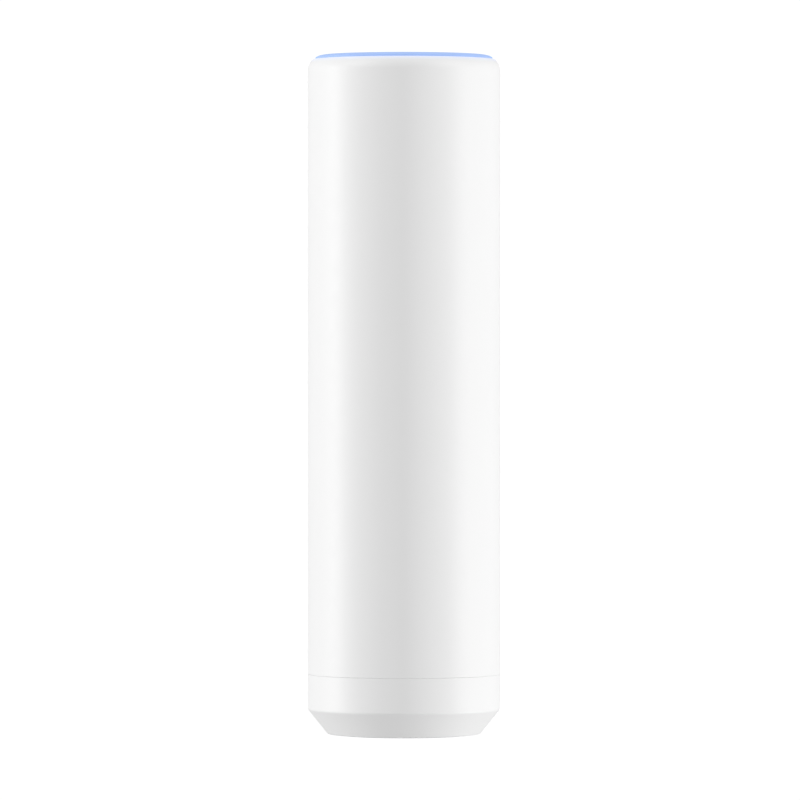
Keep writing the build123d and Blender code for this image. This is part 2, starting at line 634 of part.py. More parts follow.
# The power transformer: a ferrite core round a wound bobbin, with pins down to the board.
POWER_X, POWER_Z = 7.5, 68.5
CORE_WIDTH, CORE_LENGTH, CORE_DEPTH = 13.0, 12.6, 5.4
CORE_BOTTOM = 2.3
WINDOW_SPAN, WINDOW_LENGTH, CENTRE_LEG = 9.8, 7.6, 4.2
WINDING_RADIUS = 4.6
BOBBIN_FOOT = 0.9  # height of the bobbin's plate above the board
TERMINAL_RADIUS, TERMINAL_PITCH, TERMINAL_HEIGHT = 0.4, 2.5, 1.0
core_axis = BOARD_FRONT - CORE_BOTTOM - CORE_DEPTH / 2
with BuildPart() as power_transformer_core:
    with BuildSketch(FRONT_FACE.offset(CORE_BOTTOM)):
        with Locations((POWER_X, POWER_Z)):
            Rectangle(CORE_WIDTH, CORE_LENGTH)
            Rectangle(WINDOW_SPAN, WINDOW_LENGTH, mode=Mode.SUBTRACT)
            Rectangle(CENTRE_LEG, WINDOW_LENGTH)
    extrude(amount=CORE_DEPTH)
save(power_transformer_core.part, "power_transformer_core")

with BuildPart() as power_transformer_bobbin:
    with BuildSketch(Plane(origin=(POWER_X, core_axis, POWER_Z - WINDOW_LENGTH / 2 + FIT))):
        Circle(WINDING_RADIUS)
    extrude(amount=WINDOW_LENGTH - 2 * FIT)
    with BuildSketch(FRONT_FACE.offset(BOBBIN_FOOT)):
        with Locations((POWER_X, POWER_Z)):
            Rectangle(CORE_WIDTH, CORE_LENGTH)
    extrude(amount=CORE_BOTTOM - BOBBIN_FOOT - FIT)
    with BuildSketch(FRONT_FACE):
        with Locations((POWER_X, POWER_Z)):
            with GridLocations(CORE_WIDTH - 2.0, TERMINAL_PITCH, 2, 4):
                Circle(TERMINAL_RADIUS)
    extrude(amount=TERMINAL_HEIGHT)
    with BuildSketch(FRONT_FACE.offset(CORE_BOTTOM - FIT)):
        with Locations((POWER_X, POWER_Z)):
            Rectangle(CENTRE_LEG + 2 * FIT, WINDOW_LENGTH + 2 * FIT)
    extrude(amount=CORE_DEPTH + 2 * FIT, mode=Mode.SUBTRACT)
save(power_transformer_bobbin.part, "power_transformer_bobbin")

# Three electrolytic capacitors on square feet, and one screened inductor beside them.
CAPACITORS = [(-12.5, 82.0), (-4.9, 82.0), (2.7, 82.0)]
CAPACITOR_FOOT, CAPACITOR_FOOT_HEIGHT, CAPACITOR_RADIUS, CAPACITOR_LENGTH = 6.6, 0.8, 3.15, 6.9
with BuildPart() as capacitors:
    with BuildSketch(FRONT_FACE):
        with Locations(*CAPACITORS):
            RectangleRounded(CAPACITOR_FOOT, CAPACITOR_FOOT, 0.8)
    extrude(amount=CAPACITOR_FOOT_HEIGHT)
    with BuildSketch(FRONT_FACE.offset(CAPACITOR_FOOT_HEIGHT)):
        with Locations(*CAPACITORS):
            Circle(CAPACITOR_RADIUS)
    extrude(amount=CAPACITOR_LENGTH)
    fillet(capacitors.faces().sort_by(Axis.Y)[:3].edges(), 0.4)
save(capacitors.part, "capacitors")
save(blocks(FRONT_FACE, [(11.4, 82.0)], 7.0, 7.0, 3.0, corner=0.8), "power_inductor")

# Rows of small resistors and capacitors on both faces.
SMALL_LENGTH, SMALL_WIDTH, SMALL_HEIGHT, SMALL_PITCH = 1.6, 0.8, 0.6, 2.8
with BuildPart() as small_parts:
    with BuildSketch(FRONT_FACE):
        with Locations((0, 77.0), (0, 87.4)):
            with GridLocations(SMALL_PITCH, 1, 12, 1):
                Rectangle(SMALL_LENGTH, SMALL_WIDTH)
    extrude(amount=SMALL_HEIGHT)
    with BuildSketch(REAR_FACE):
        with Locations((0, 69.6), (0, 90.3)):
            with GridLocations(SMALL_PITCH, 1, 10, 1):
                Rectangle(SMALL_LENGTH, SMALL_WIDTH)
    extrude(amount=SMALL_HEIGHT)
save(small_parts.part, "small_parts")

# The socket that the LED flex plugs into.
save(blocks(FRONT_FACE, [(0, FLEX_START - 1.75)], 8.0, 3.5, 2.0), "flex_connector")

# ==== Heat sink ===========================================================================
# An aluminium plate behind the board with seven fins that reach the shell's curve. Bosses take
# the port well's screws below, the bracket's above and the board's in front.
SINK_BOTTOM = BULKHEAD_TOP + 3.0
SINK_WIDTH, SINK_PLATE = 37.0, 3.0
FIN_THICKNESS, FIN_PITCH, FIN_COUNT = 1.6, 5.0, 7
SINK_REACH = 20.3
WELL_SCREWS = ((-12.5, 5.8), (12.5, 5.8), (0.0, 13.0))
STANDOFF_RADIUS = 2.4
WELL_BOSS, BRACKET_BOSS = 3.2, 3.0  # radii of the columns that the screws bite into
PILOT_RADIUS = 1.05

with BuildPart() as heat_sink:
    with BuildSketch(Plane.XY.offset(SINK_BOTTOM)):
        with Locations((0, SINK_FACE + SINK_PLATE / 2)):
            Rectangle(SINK_WIDTH, SINK_PLATE)
        with Locations((0, SINK_FACE + SINK_REACH / 2)):
            with GridLocations(FIN_PITCH, 1, FIN_COUNT, 1):
                Rectangle(FIN_THICKNESS, SINK_REACH)
        Circle(SINK_REACH, mode=Mode.INTERSECT)
    extrude(amount=BOARD_TOP - SINK_BOTTOM)
    with BuildSketch(Plane.XY.offset(SINK_BOTTOM)):
        with Locations(*WELL_SCREWS):
            Circle(WELL_BOSS)
    extrude(amount=13.0)
    with BuildSketch(Plane.XY.offset(BRACKET_BOTTOM)):
        with Locations(*BRACKET_SCREWS):
            Circle(BRACKET_BOSS)
    extrude(amount=-14.0)
    with BuildSketch(Plane.XZ.offset(-SINK_FACE)):
        with Locations(*BOARD_SCREWS):
            Circle(STANDOFF_RADIUS)
    extrude(amount=REAR_GAP)
    # Pilot holes for the screws.
    with BuildSketch(Plane.XY.offset(SINK_BOTTOM)):
        with Locations(*WELL_SCREWS):
            Circle(PILOT_RADIUS)
    extrude(amount=11.0, mode=Mode.SUBTRACT)
    with BuildSketch(Plane.XY.offset(BRACKET_BOTTOM)):
        with Locations(*BRACKET_SCREWS):
            Circle(PILOT_RADIUS)
    extrude(amount=-11.0, mode=Mode.SUBTRACT)
    with BuildSketch(FRONT_FACE):
        with Locations(*BOARD_SCREWS):
            Circle(PILOT_RADIUS)
    extrude(amount=-6.0, mode=Mode.SUBTRACT)
save(heat_sink.part, "heat_sink")

# ==== Network socket ======================================================================
# A screened modular jack with its mouth down, in the bay's ceiling. Eight spring wires slope
# through it, and the latch side faces the front, where a finger can reach.
JACK_WIDTH, JACK_DEPTH, JACK_MOUTH, JACK_TOP = 16.0, 13.3, 38.2, 59.5
JACK_WALL = 0.3
JACK_MIDDLE = BOARD_FRONT - JACK_DEPTH / 2
CAVITY_TOP = 52.7
PLUG_WIDTH, PLUG_DEPTH, PLUG_MIDDLE = 11.9, 7.0, -9.1  # the plug's own space
LATCH_WIDTH, LATCH_DEPTH, LATCH_MIDDLE = 6.3, 1.8, -13.0  # the latch, in two steps
TONGUE_WIDTH, TONGUE_DEPTH, TONGUE_MIDDLE = 4.0, 2.2, -14.0
COMB_WIDTH, COMB_DEPTH, COMB_MIDDLE, COMB_LIP = 8.4, 1.8, -5.2, 1.4  # for the contacts' roots
CONTACT_PITCH, CONTACT_WIDTH, CONTACT_THICKNESS = 1.02, 0.46, 0.3

with BuildPart() as rj45_shield:
    with BuildSketch(Plane.XY.offset(JACK_MOUTH)):
        with Locations((0, JACK_MIDDLE)):
            Rectangle(JACK_WIDTH, JACK_DEPTH)
    extrude(amount=JACK_TOP - JACK_MOUTH)
    with BuildSketch(Plane.XY.offset(JACK_MOUTH)):
        with Locations((0, JACK_MIDDLE)):
            Rectangle(JACK_WIDTH - 2 * JACK_WALL, JACK_DEPTH - 2 * JACK_WALL)
    extrude(amount=JACK_TOP - JACK_MOUTH - JACK_WALL, mode=Mode.SUBTRACT)
save(rj45_shield.part, "rj45_shield")

with BuildPart() as rj45_body:
    with BuildSketch(Plane.XY.offset(JACK_MOUTH)):
        with Locations((0, JACK_MIDDLE)):
            Rectangle(JACK_WIDTH - 0.7, JACK_DEPTH - 0.7)
    extrude(amount=JACK_TOP - JACK_MOUTH - JACK_WALL - 0.1)
    with BuildSketch(Plane.XY.offset(JACK_MOUTH)):
        with Locations((0, PLUG_MIDDLE)):
            Rectangle(PLUG_WIDTH, PLUG_DEPTH)
        with Locations((0, LATCH_MIDDLE)):
            Rectangle(LATCH_WIDTH, LATCH_DEPTH)
        with Locations((0, TONGUE_MIDDLE)):
            Rectangle(TONGUE_WIDTH, TONGUE_DEPTH)
    extrude(amount=CAVITY_TOP - JACK_MOUTH, mode=Mode.SUBTRACT)
    with BuildSketch(Plane.XY.offset(JACK_MOUTH + COMB_LIP)):
        with Locations((0, COMB_MIDDLE)):
            Rectangle(COMB_WIDTH, COMB_DEPTH)
    extrude(amount=CAVITY_TOP - JACK_MOUTH - COMB_LIP, mode=Mode.SUBTRACT)
save(rj45_body.part, "rj45_body")

contact_offsets = [(i - 3.5) * CONTACT_PITCH for i in range(8)]
with BuildPart() as rj45_contacts:
    for across in contact_offsets:
        with BuildSketch(Plane.YZ.offset(across)):
            with BuildLine():
                FilletPolyline(
                    (-4.8, CAVITY_TOP), (-4.8, 41.2), (-7.9, 49.6), radius=0.45
                )
            trace(line_width=CONTACT_THICKNESS)
        extrude(amount=CONTACT_WIDTH / 2, both=True)
save(rj45_contacts.part, "rj45_contacts")

# ==== Reset button ========================================================================
# A small button in the bay's ceiling. Its flange rests on the bulkhead, and its post pushes the
# plunger of a switch at the board's bottom edge.
RESET_X, RESET_Y = 13.0, -4.85
BUTTON_RADIUS, BUTTON_FLANGE, FLANGE_THICKNESS, POST_RADIUS = 1.6, 2.5, 0.6, 1.2
DIMPLE_RADIUS, DIMPLE_DEPTH = 0.8, 0.35
BUTTON_HOLE = BUTTON_RADIUS + 0.15
PLUNGER_BOTTOM, PLUNGER_TOP, PLUNGER_RADIUS = 41.0, 42.7, 0.95
SWITCH_BOTTOM, SWITCH_TOP, SWITCH_WIDTH = 42.0, 45.6, 6.0

with BuildPart() as reset_button:
    with BuildSketch(Plane(origin=(RESET_X, RESET_Y, JACK_MOUTH))):
        Circle(BUTTON_RADIUS)
    extrude(amount=BULKHEAD_TOP - JACK_MOUTH)
    with BuildSketch(Plane(origin=(RESET_X, RESET_Y, BULKHEAD_TOP))):
        Circle(BUTTON_FLANGE)
    extrude(amount=FLANGE_THICKNESS)
    with BuildSketch(Plane(origin=(RESET_X, RESET_Y, BULKHEAD_TOP + FLANGE_THICKNESS))):
        Circle(POST_RADIUS)
    extrude(amount=PLUNGER_BOTTOM - BULKHEAD_TOP - FLANGE_THICKNESS)
    with BuildSketch(Plane(origin=(RESET_X, RESET_Y, JACK_MOUTH))):
        Circle(DIMPLE_RADIUS)
    extrude(amount=DIMPLE_DEPTH, mode=Mode.SUBTRACT)
save(reset_button.part, "reset_button")

with BuildPart() as switch_plunger:
    with BuildSketch(Plane(origin=(RESET_X, RESET_Y, PLUNGER_BOTTOM))):
        Circle(PLUNGER_RADIUS)
    extrude(amount=PLUNGER_TOP - PLUNGER_BOTTOM)
save(switch_plunger.part, "switch_plunger")

with BuildPart() as reset_switch:
    with BuildSketch(Plane(origin=(RESET_X, RESET_Y, SWITCH_BOTTOM))):
        Rectangle(SWITCH_WIDTH, 2 * (BOARD_FRONT - RESET_Y))
    extrude(amount=SWITCH_TOP - SWITCH_BOTTOM)
    with BuildSketch(Plane(origin=(RESET_X, RESET_Y, SWITCH_BOTTOM))):
        Circle(PLUNGER_RADIUS + FIT)
    extrude(amount=PLUNGER_TOP - SWITCH_BOTTOM + 0.9, mode=Mode.SUBTRACT)
save(reset_switch.part, "reset_switch")

# ==== Port well ===========================================================================
# A cup, mouth down, that closes the shell's bottom. Its wall is the cable bay, its flange sits
# in the shell's rebate, and the neck below carries a seal and the key slot for the base.
WELL_RADIUS = 21.2
WELL_FLANGE_RADIUS = REBATE_RADIUS - FIT
GASKET_THICKNESS = 0.5
SEAL_SECTION = 0.8  # the seal's section radius
SEAL_HEIGHT = 11.8
SKIRT_BORE = 21.95  # the base's bore, which slides over the neck
SEAL_FLOOR = SKIRT_BORE - 0.02 - 2 * SEAL_SECTION
SEAL_HALF_WIDTH = 0.95
KEY_WIDTH, KEY_TOP = 4.0, 10.2
BEAD_RADIUS, BEAD_SPAN, BEAD_ANGLES = GROOVE_RADIUS - FIT, 24.0, (0, 60, 120, 180, 240, 300)
WELL_RIB = 1.2
WELL_HOLE, WELL_RECESS_RADIUS, WELL_RECESS = 1.25, 2.3, 1.3  # for the screws, from the bay

with BuildPart() as port_well:
    with BuildSketch(Plane.XZ):
        with BuildLine():
            Polyline(
                (BAY_RADIUS, NECK_BOTTOM),
                (NECK_RADIUS, NECK_BOTTOM),
                (NECK_RADIUS, SEAL_HEIGHT - SEAL_HALF_WIDTH),
                (SEAL_FLOOR, SEAL_HEIGHT - SEAL_HALF_WIDTH),
                (SEAL_FLOOR, SEAL_HEIGHT + SEAL_HALF_WIDTH),
                (NECK_RADIUS, SEAL_HEIGHT + SEAL_HALF_WIDTH),
                (NECK_RADIUS, SHELL_BOTTOM),
                (WELL_FLANGE_RADIUS, SHELL_BOTTOM),
                (WELL_FLANGE_RADIUS, REBATE_TOP - GASKET_THICKNESS),
                (WELL_RADIUS, REBATE_TOP - GASKET_THICKNESS),
                (WELL_RADIUS, BULKHEAD_TOP),
                (0, BULKHEAD_TOP),
                (0, BULKHEAD_HEIGHT),
                (BAY_RADIUS, BULKHEAD_HEIGHT),
                close=True,
            )
        make_face()
    revolve(axis=Axis.Z)
    # Snap beads that spring into the shell's groove, and ribs that centre the well above them.
    for angle in BEAD_ANGLES:
        with BuildSketch(Plane.XZ.rotated((0, 0, angle - BEAD_SPAN / 2))):
            with BuildLine():
                Polyline(
                    (WELL_RADIUS - 0.1, GROOVE_BOTTOM + FIT),
                    (BEAD_RADIUS, GROOVE_BOTTOM + FIT),
                    (BEAD_RADIUS, GROOVE_BOTTOM + 0.8),
                    (WELL_RADIUS - 0.1, GROOVE_TOP + 0.3),
                    close=True,
                )
            make_face()
        revolve(axis=Axis.Z, revolution_arc=BEAD_SPAN)
    with BuildSketch(Plane.XY.offset(GROOVE_TOP + 4)):
        with PolarLocations((WELL_RADIUS + BORE_RADIUS - FIT) / 2, 4, start_angle=45):
            Rectangle(BORE_RADIUS - FIT - WELL_RADIUS + 0.1, WELL_RIB)
    extrude(amount=BULKHEAD_TOP - GROOVE_TOP - 4)
    # The socket's window and the reset button's hole.
    with BuildSketch(Plane.XY.offset(BULKHEAD_HEIGHT)):
        with Locations((0, JACK_MIDDLE)):
            Rectangle(JACK_WIDTH + 0.4, JACK_DEPTH + 0.4)
        with Locations((RESET_X, RESET_Y)):
            Circle(BUTTON_HOLE)
    extrude(amount=BULKHEAD_THICKNESS, mode=Mode.SUBTRACT)
    # Three spacers under the heat sink, with screw holes recessed from the bay.
    with BuildSketch(Plane.XY.offset(BULKHEAD_TOP)):
        with Locations(*WELL_SCREWS):
            Circle(WELL_BOSS)
    extrude(amount=SINK_BOTTOM - BULKHEAD_TOP)
    with Locations(*[Plane(origin=(x, y, BULKHEAD_HEIGHT), z_dir=(0, 0, -1)) for x, y in WELL_SCREWS]):
        CounterBoreHole(
            WELL_HOLE, WELL_RECESS_RADIUS, WELL_RECESS, depth=SINK_BOTTOM - BULKHEAD_HEIGHT
        )
    # The key slot at the back of the neck.
    with BuildSketch(Plane.XY.offset(NECK_BOTTOM)):
        with Locations((0, NECK_RADIUS)):
            Rectangle(KEY_WIDTH, 3.0)
    extrude(amount=KEY_TOP - NECK_BOTTOM, mode=Mode.SUBTRACT)
save(port_well.part, "port_well")

well_screw_planes = [
    Plane(origin=(x, y, BULKHEAD_HEIGHT + WELL_RECESS), z_dir=(0, 0, -1)) for x, y in WELL_SCREWS
]
save(pan_screws(well_screw_planes, 12.0, head_radius=2.1, head_height=1.2), "well_screws")

with BuildPart() as shell_gasket:
    with BuildSketch(Plane.XY.offset(REBATE_TOP)):
        Circle(WELL_FLANGE_RADIUS)
        Circle(BORE_RADIUS, mode=Mode.SUBTRACT)
    extrude(amount=-GASKET_THICKNESS)
save(shell_gasket.part, "shell_gasket")

with BuildPart() as base_seal:
    with BuildSketch(Plane.XZ):
        with Locations((SEAL_FLOOR + SEAL_SECTION, SEAL_HEIGHT)):
            Circle(SEAL_SECTION)
    revolve(axis=Axis.Z)
save(base_seal.part, "base_seal")

# A blank label on the bay's ceiling, between the screws.
with BuildPart() as rating_label:
    with BuildSketch(Plane(origin=(0, 4.3, BULKHEAD_HEIGHT), z_dir=(0, 0, -1))):
        RectangleRounded(18.0, 7.0, 0.8)
    extrude(amount=0.1)
save(rating_label.part, "rating_label")

# ==== Base ================================================================================
# The chamfered bottom of the node, which pulls straight down off the neck. A collar guards the
# bay's mouth, and an arched duct lets the cable out at the back while the node stands.
COLLAR_INNER, COLLAR_OUTER, COLLAR_TOP = 14.2, 15.6, 7.0
FLOOR_TOP = FOOT_PROUD + BASE_WALL
CHAMFER_SLOPE = (CHAMFER_TOP - FOOT_PROUD) / (OUTER_RADIUS - BASE_FLOOR_RADIUS)
CHAMFER_RISE = BASE_WALL * sqrt(1 + CHAMFER_SLOPE**2)  # from the slanting face up to its inside
TROUGH_FLOOR_RADIUS = BASE_FLOOR_RADIUS + (BASE_WALL - CHAMFER_RISE) / CHAMFER_SLOPE
TROUGH_CORNER = FOOT_PROUD + (SKIRT_BORE - BASE_FLOOR_RADIUS) * CHAMFER_SLOPE + CHAMFER_RISE
DUCT_WIDTH, DUCT_TOP, DUCT_WALL = 7.5, 6.6, 1.2
FOOT_INNER, FOOT_OUTER, FOOT_DEPTH = 15.0, 17.2, 0.9
GUSSET_ANGLES = (30, 150, 210, 270, 330)
GUSSET_THICKNESS = 1.2

# The hollow between the collar and the outer wall, less the gussets and the duct's walls.
with BuildPart() as trough:
    with BuildSketch(Plane.XZ):
        with BuildLine():
            Polyline(
                (COLLAR_OUTER, FLOOR_TOP),
                (TROUGH_FLOOR_RADIUS, FLOOR_TOP),
                (SKIRT_BORE, TROUGH_CORNER),
                (SKIRT_BORE, BASE_TOP + 1),
                (COLLAR_OUTER, BASE_TOP + 1),
                close=True,
            )
        make_face()
    revolve(axis=Axis.Z)
    with BuildSketch(Plane.XY):
        for angle in GUSSET_ANGLES:
            with PolarLocations(18.5, 1, start_angle=angle):
                Rectangle(8.0, GUSSET_THICKNESS)
    extrude(amount=COLLAR_TOP - 0.5, mode=Mode.SUBTRACT)
    with BuildSketch(Plane.XY):
        with Locations((0, 18.0)):
            Rectangle(DUCT_WIDTH + 2 * DUCT_WALL, 10.0)
    extrude(amount=DUCT_TOP + DUCT_WALL, mode=Mode.SUBTRACT)
    with BuildSketch(Plane.XY):
        with Locations((0, SKIRT_BORE)):
            Rectangle(KEY_WIDTH - 0.4, 2 * (SKIRT_BORE - NECK_RADIUS + 0.8))
    extrude(amount=KEY_TOP - 0.2, mode=Mode.SUBTRACT)

with BuildPart() as base_cap:
    with BuildSketch(Plane.XZ):
        with BuildLine():
            FilletPolyline(
                (0, FOOT_PROUD),
                (BASE_FLOOR_RADIUS, FOOT_PROUD),
                (OUTER_RADIUS, CHAMFER_TOP),
                (OUTER_RADIUS, BASE_TOP),
                (0, BASE_TOP),
                radius=(0, 0.8, 1.0, SEAM_SOFTENING, 0),
                close=True,
            )
        make_face()
    revolve(axis=Axis.Z)
    add(trough.part, mode=Mode.SUBTRACT)
    # The bay's mouth.
    with BuildSketch(Plane.XY):
        Circle(COLLAR_INNER)
    extrude(amount=COLLAR_TOP + 0.1, mode=Mode.SUBTRACT)
    with BuildSketch(Plane.XY.offset(COLLAR_TOP)):
        Circle(COLLAR_OUTER + 0.001)
    extrude(amount=BASE_TOP, mode=Mode.SUBTRACT)
    # The groove for the foot ring.
    with BuildSketch(Plane.XY.offset(FOOT_PROUD)):
        Circle(FOOT_OUTER + 0.05)
        Circle(FOOT_INNER - 0.05, mode=Mode.SUBTRACT)
    extrude(amount=FOOT_DEPTH, mode=Mode.SUBTRACT)
    # The arched cable duct, from the bay's mouth out through the back.
    with BuildSketch(Plane.XZ.offset(-10.0)):
        with BuildLine():
            Line((-DUCT_WIDTH / 2, -1), (DUCT_WIDTH / 2, -1))
            Line((DUCT_WIDTH / 2, -1), (DUCT_WIDTH / 2, DUCT_TOP - DUCT_WIDTH / 2))
            ThreePointArc(
                (DUCT_WIDTH / 2, DUCT_TOP - DUCT_WIDTH / 2),
                (0, DUCT_TOP),
                (-DUCT_WIDTH / 2, DUCT_TOP - DUCT_WIDTH / 2),
            )
            Line((-DUCT_WIDTH / 2, DUCT_TOP - DUCT_WIDTH / 2), (-DUCT_WIDTH / 2, -1))
        make_face()
    extrude(amount=-20.0, mode=Mode.SUBTRACT)
    # Round the duct's rim, where it comes out through the chamfer and the wall above it.
    rim = [
        edge
        for edge in base_cap.edges()
        if edge.geom_type != GeomType.LINE
        and edge.center().Y > FOOT_OUTER
        and abs(edge.center().X) < DUCT_WIDTH / 2 + 0.01
        and FOOT_PROUD + 0.01 < edge.center().Z < DUCT_TOP + 0.01
    ]
    fillet(rim, 2 * EDGE_SOFTENING)
save(base_cap.part, "base_cap")

# The rubber foot ring, open where the duct passes.
with BuildPart() as foot_ring:
    with BuildSketch(Plane.XY):
        Circle(FOOT_OUTER)
        Circle(FOOT_INNER, mode=Mode.SUBTRACT)
        with Locations((0, 20.0)):
            Rectangle(DUCT_WIDTH + 2 * DUCT_WALL, 20.0, mode=Mode.SUBTRACT)
    extrude(amount=FOOT_PROUD + FOOT_DEPTH)
    fillet(foot_ring.edges().group_by(Axis.Z)[0], EDGE_SOFTENING)
save(foot_ring.part, "foot_ring")
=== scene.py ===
"""The looks of the mesh wifi node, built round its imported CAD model.

The outer pieces are turned again as fine meshes with small rounded edges, and every piece gets a
procedural material. All sizes are in metres unless a name says otherwise.
"""

import json
from math import atan2, cos, hypot, pi, radians, sin, sqrt, tan

import bmesh
import bpy
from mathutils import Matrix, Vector

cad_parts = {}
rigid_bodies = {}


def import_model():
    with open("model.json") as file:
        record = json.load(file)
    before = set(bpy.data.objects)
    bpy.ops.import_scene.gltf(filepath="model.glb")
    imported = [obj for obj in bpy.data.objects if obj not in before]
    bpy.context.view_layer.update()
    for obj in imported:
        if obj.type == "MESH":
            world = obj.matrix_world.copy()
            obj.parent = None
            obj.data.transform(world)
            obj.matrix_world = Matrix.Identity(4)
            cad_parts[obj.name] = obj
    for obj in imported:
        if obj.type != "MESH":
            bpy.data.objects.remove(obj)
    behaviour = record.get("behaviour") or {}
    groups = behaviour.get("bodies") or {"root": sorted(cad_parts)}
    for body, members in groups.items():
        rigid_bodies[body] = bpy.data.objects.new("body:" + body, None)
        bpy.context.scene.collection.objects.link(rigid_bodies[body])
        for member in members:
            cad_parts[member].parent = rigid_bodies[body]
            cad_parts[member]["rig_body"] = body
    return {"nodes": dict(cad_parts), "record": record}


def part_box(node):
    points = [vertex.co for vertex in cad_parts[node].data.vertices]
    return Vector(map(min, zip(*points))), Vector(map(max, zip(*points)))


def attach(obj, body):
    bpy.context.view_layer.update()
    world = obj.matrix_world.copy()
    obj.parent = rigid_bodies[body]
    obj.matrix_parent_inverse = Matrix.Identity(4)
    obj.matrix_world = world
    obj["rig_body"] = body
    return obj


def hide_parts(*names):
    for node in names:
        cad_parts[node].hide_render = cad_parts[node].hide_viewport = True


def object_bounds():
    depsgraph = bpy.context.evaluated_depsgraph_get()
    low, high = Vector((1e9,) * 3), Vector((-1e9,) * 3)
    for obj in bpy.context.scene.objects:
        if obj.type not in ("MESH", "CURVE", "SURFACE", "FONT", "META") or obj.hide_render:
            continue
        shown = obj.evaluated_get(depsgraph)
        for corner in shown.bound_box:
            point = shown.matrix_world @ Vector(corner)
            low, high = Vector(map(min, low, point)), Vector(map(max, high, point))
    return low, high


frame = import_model()
cad_low, cad_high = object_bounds()

MM = 0.001
SEGMENTS = 288  # round a whole turn
SMOOTH_TO = 35.0  # degrees between faces, up to which an edge is shaded smooth

# ---- Sizes, from the frame where a node's box gives them -----------------------------------
shell_low, shell_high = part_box("outer_shell")
ring_low, ring_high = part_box("light_ring")
cap_low, cap_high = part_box("top_cap")
base_low, base_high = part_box("base_cap")
foot_low, foot_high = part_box("foot_ring")
well_low, well_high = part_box("port_well")

OUTER = shell_high.x
HEIGHT = cad_high.z
SHOULDER = 4.0 * MM  # radius of the rounding up to the flat top
SEAM_EDGE = 0.1 * MM
SEAM_CLOSE = 0.024 * MM  # how far each side of the seam stands into its gap
BORE = OUTER - 1.75 * MM
LAND = 22.45 * MM  # where the shoulder stops short, at the narrow land round the lit ring
LAND_EDGE = 0.08 * MM  # the small roundings at the land and at the ring's outer edge
CHAMFER_TOP, FLOOR_EDGE = 6.25 * MM, 18.85 * MM  # the two ends of the base's slanting foot
DUCT_HALF, DUCT_TOP = 3.75 * MM, 6.6 * MM  # the cable's way out at the back
CLEAR = 1.0 * MM  # how far a cutting tool stands out past what it cuts


# ---- Outlines ------------------------------------------------------------------------------
def arc(centre, radius, start, end, step=radians(4)):
    """Points on an arc in the (radius, height) plane, from one angle to another."""
    count = max(2, int(abs(end - start) / step) + 1)
    angles = [start + (end - start) * i / count for i in range(count + 1)]
    return [(centre[0] + radius * cos(a), centre[1] + radius * sin(a)) for a in angles]


def rounded(corners, step=radians(12)):
    """A closed outline from (radius, height, rounding) corners, with each rounding as an arc."""
    outline = []
    for i, (x, y, rounding) in enumerate(corners):
        if not rounding:
            outline.append((x, y))
            continue
        before, after = corners[i - 1], corners[(i + 1) % len(corners)]
        back = Vector((before[0] - x, before[1] - y)).normalized()
        on = Vector((after[0] - x, after[1] - y)).normalized()
        half = back.angle(on) / 2
        towards = (back + on).normalized()
        reach = rounding / tan(half)
        centre = Vector((x, y)) + towards * rounding / sin(half)
        start = Vector((x, y)) + back * reach - centre
        end = Vector((x, y)) + on * reach - centre
        first, last = atan2(start.y, start.x), atan2(end.y, end.x)
        while last - first > pi:
            last -= 2 * pi
        while last - first < -pi:
            last += 2 * pi
        outline += arc(centre, rounding, first, last, step)
    return outline


# ---- Mesh makers ---------------------------------------------------------------------------
def finish_mesh(name, mesh):
    """A new object from a bmesh, with outward faces."""
    bmesh.ops.remove_doubles(mesh, verts=mesh.verts, dist=1e-7)
    bmesh.ops.recalc_face_normals(mesh, faces=mesh.faces)
    data = bpy.data.meshes.new(name)
    mesh.to_mesh(data)
    mesh.free()
    data.shade_smooth()
    data.set_sharp_from_angle(angle=radians(SMOOTH_TO))
    made = bpy.data.objects.new(name, data)
    bpy.context.scene.collection.objects.link(made)
    return made


def turn_into(mesh, outline, start=0.0, sweep=2 * pi):
    """Turns a closed outline about Z, a whole turn or a closed-ended part of one."""
    whole = abs(sweep - 2 * pi) < 1e-9
    count = SEGMENTS if whole else max(2, round(SEGMENTS * sweep / (2 * pi)))
    rings = []
    for i in range(count if whole else count + 1):
        angle = start + sweep * i / count
        c, s = cos(angle), sin(angle)
        rings.append([mesh.verts.new((r * c, r * s, z)) for r, z in outline])
    pairs = list(zip(rings, rings[1:])) + ([(rings[-1], rings[0])] if whole else [])
    for here, there in pairs:
        for j in range(len(outline)):
            k = (j + 1) % len(outline)
            along_axis = outline[j][0] < 1e-9 and outline[k][0] < 1e-9
            if not along_axis:
                mesh.faces.new((here[j], there[j], there[k], here[k]))
    if not whole:
        mesh.faces.new(rings[0])
        mesh.faces.new(list(reversed(rings[-1])))


def turned(name, outline):
    """An object of one outline, turned a whole turn."""
    mesh = bmesh.new()
    turn_into(mesh, outline)
    return finish_mesh(name, mesh)


def closed_between(name, ends):
    """A closed solid between two loops of the same number of corners."""
    mesh = bmesh.new()
    near, far = [[mesh.verts.new(place) for place in loop] for loop in ends]
    mesh.faces.new(near)
    mesh.faces.new(list(reversed(far)))
    for j in range(len(near)):
        k = (j + 1) % len(near)
        mesh.faces.new((near[j], near[k], far[k], far[j]))
    return finish_mesh(name, mesh)


def prism(name, corners, low, high):
    """A prism of (x, height) corners, from low to high along Y."""
    ends = [[(a, depth, z) for a, z in corners] for depth in (low, high)]
    return closed_between(name, ends)


def post(corners, low, high):
    """An upright prism of (x, y) corners."""
    return closed_between("post", [[(x, y, z) for x, y in corners] for z in (low, high)])


def round_post(x, y, radius, low, high):
    """An upright cylinder."""
    last = 2 * pi * 63 / 64  # short of the whole turn, because the loop closes by itself
    return post(arc((x, y), radius, 0, last), low, high)


